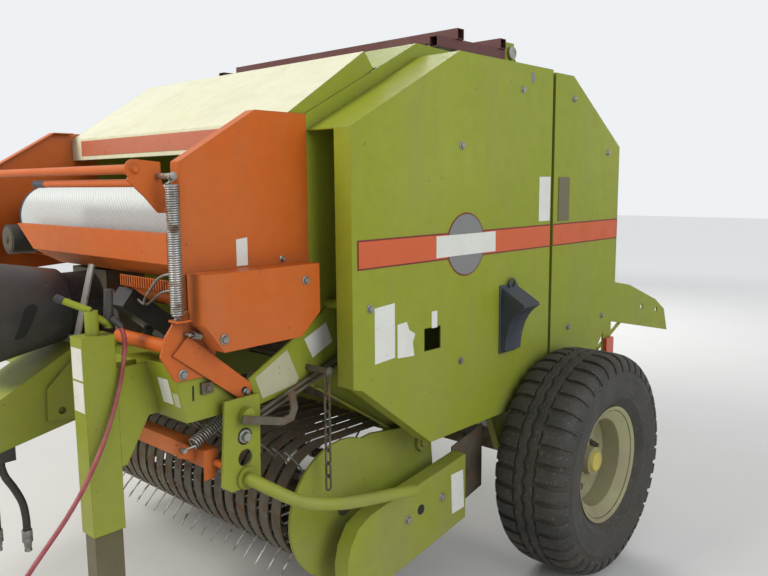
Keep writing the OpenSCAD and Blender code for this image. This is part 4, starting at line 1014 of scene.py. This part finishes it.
# Bolt heads on both sides of the machine


def bolts(name, material, body, slot, rows):
    """Bolts that point outward, from rows of x, y, z, width and, where it isn't the usual one, height."""
    heads = Shape()
    for x, y, z, *size in rows:
        heads.bolt(at(x, y, z), OUTWARD, *size)
    heads.mirror()
    heads.done(name, material, body, slot)


bolts("arm_bolts", ORANGE, "root", "orange_paint", [(0.592, -1.608, 1.512, 0.017), (0.592, -1.520, 1.428, 0.017)])
bolts("frame_bolts", ZINC, "root", "bare_steel", [
    (0.620, -1.410, 0.701, 0.016),
    (COVER, -0.575, 1.592, 0.017),
    (COVER, -0.217, 1.797, 0.017),
    (COVER, -1.012, 1.113, 0.017),
    (COVER, -0.574, 0.882, 0.017),
    (WALL + 0.083, -1.170, 1.205, 0.016),
    (WALL + 0.083, -1.450, 1.080, 0.018),
    (WALL, -1.184, 1.262, 0.012),
    (PLATE, -1.528, 0.990, 0.018),
    (WALL + 0.016, -1.338, 0.907, 0.012),
    (0.668, -1.362, 0.790, 0.024, 0.016),
])
bolts("tail_bolts", ZINC, "tailgate", "bare_steel", [
    (COVER, 0.149, 1.793, 0.017),
    (COVER, 0.448, 1.594, 0.017),
    (COVER, 0.439, 0.900, 0.017),
    (COVER, 0.146, 0.893, 0.017),
])
bolts("shield_bolts", ZINC, "pickup", "bare_steel", [(SHIELD, -0.834, 0.405, 0.018), (SHIELD, -0.659, 0.425, 0.018)])


# Camera, floor and light

PHOTO_WIDTH_PX = 768
FOCAL_PX = 754.066
SENSOR_MM = 36.0
RIGHT = Vector((0.736821, 0.676046, -0.007517))
UP = Vector((-0.087287, 0.106148, 0.990512))
BACK = Vector((0.670430, -0.729173, 0.137223))
cam = bpy.data.objects.new("view", bpy.data.cameras.new("view"))
turned = Matrix((RIGHT, UP, BACK)).transposed().to_4x4()
cam.matrix_world = Matrix.Translation(at(2.297423, -2.566843, 1.472356)) @ turned
cam.data.sensor_width = SENSOR_MM
cam.data.lens = SENSOR_MM * FOCAL_PX / PHOTO_WIDTH_PX
bpy.context.scene.collection.objects.link(cam)
bpy.context.scene.camera = cam

FLOOR_HALF = 30
floor_mesh = bpy.data.meshes.new("floor")
floor_corners = [(x * FLOOR_HALF, y * FLOOR_HALF, 0) for x, y in ((-1, -1), (1, -1), (1, 1), (-1, 1))]
floor_mesh.from_pydata(floor_corners, [], [(0, 1, 2, 3)])
floor = bpy.data.objects.new("floor", floor_mesh)
bpy.context.scene.collection.objects.link(floor)
ground = Paint("floor", Roughness=0.9)
ground.put(ground.mix(ground.noise(3.0), (0.70, 0.69, 0.67), (0.74, 0.73, 0.71)), ground.shader.inputs["Base Color"])
# Far from the machine the floor glows a little for the camera, so that it runs into the pale background
far = ground.node("ShaderNodeVectorMath", {0: ground.place}, operation="LENGTH").outputs["Value"]
seen = ground.node("ShaderNodeLightPath").outputs["Is Camera Ray"]
glow = ground.calc("MULTIPLY", ground.span(far, 2.5, 11.0, 0.0, 0.42), seen)
ground.put((0.92, 0.94, 0.96), ground.shader.inputs["Emission Color"])
ground.put(glow, ground.shader.inputs["Emission Strength"])
floor_mesh.materials.append(ground.material)

# The sky that lights the machine, and the pale one that is seen directly, through glass and in reflections
world = bpy.data.worlds.new("studio")
world.use_nodes = True
bpy.context.scene.world = world
sky = Tree(world.node_tree)
lit = sky.tree.nodes["Background"]
sky.put((0.93, 0.96, 1.0), lit.inputs["Color"])
sky.put(0.42, lit.inputs["Strength"])
shown = sky.node("ShaderNodeBackground", {"Color": (0.86, 0.88, 0.90), "Strength": 1.0})
rays = sky.node("ShaderNodeLightPath").outputs
direct = sky.calc("MAXIMUM", rays["Is Camera Ray"], rays["Is Transmission Ray"])
direct = sky.calc("MAXIMUM", direct, rays["Is Glossy Ray"])
mixed = sky.node("ShaderNodeMixShader", {0: direct, 1: lit.outputs[0], 2: shown.outputs[0]})
sky.put(mixed.outputs[0], sky.tree.nodes["World Output"].inputs["Surface"])


def lamp(name, place, aim, size, energy, color=(1, 1, 1)):
    data = bpy.data.lights.new(name, "AREA")
    data.shape = "DISK"
    data.size = size
    data.energy = energy
    data.color = color
    obj = bpy.data.objects.new(name, data)
    obj.location = place
    obj.rotation_euler = (Vector(aim) - Vector(place)).to_track_quat("-Z", "Y").to_euler()
    bpy.context.scene.collection.objects.link(obj)


lamp("key", (-1.8, -5.2, 5.4), (0, -0.3, 1.0), 3.0, 320, (1.0, 0.97, 0.90))
lamp("side", (6.0, -0.6, 3.4), (0, 0, 0.9), 4.0, 150, (0.93, 0.97, 1.0))
lamp("rear", (-3.0, 5.5, 4.5), (0, 0, 1.0), 4.0, 220)

bpy.context.scene.view_settings.view_transform = "Standard"
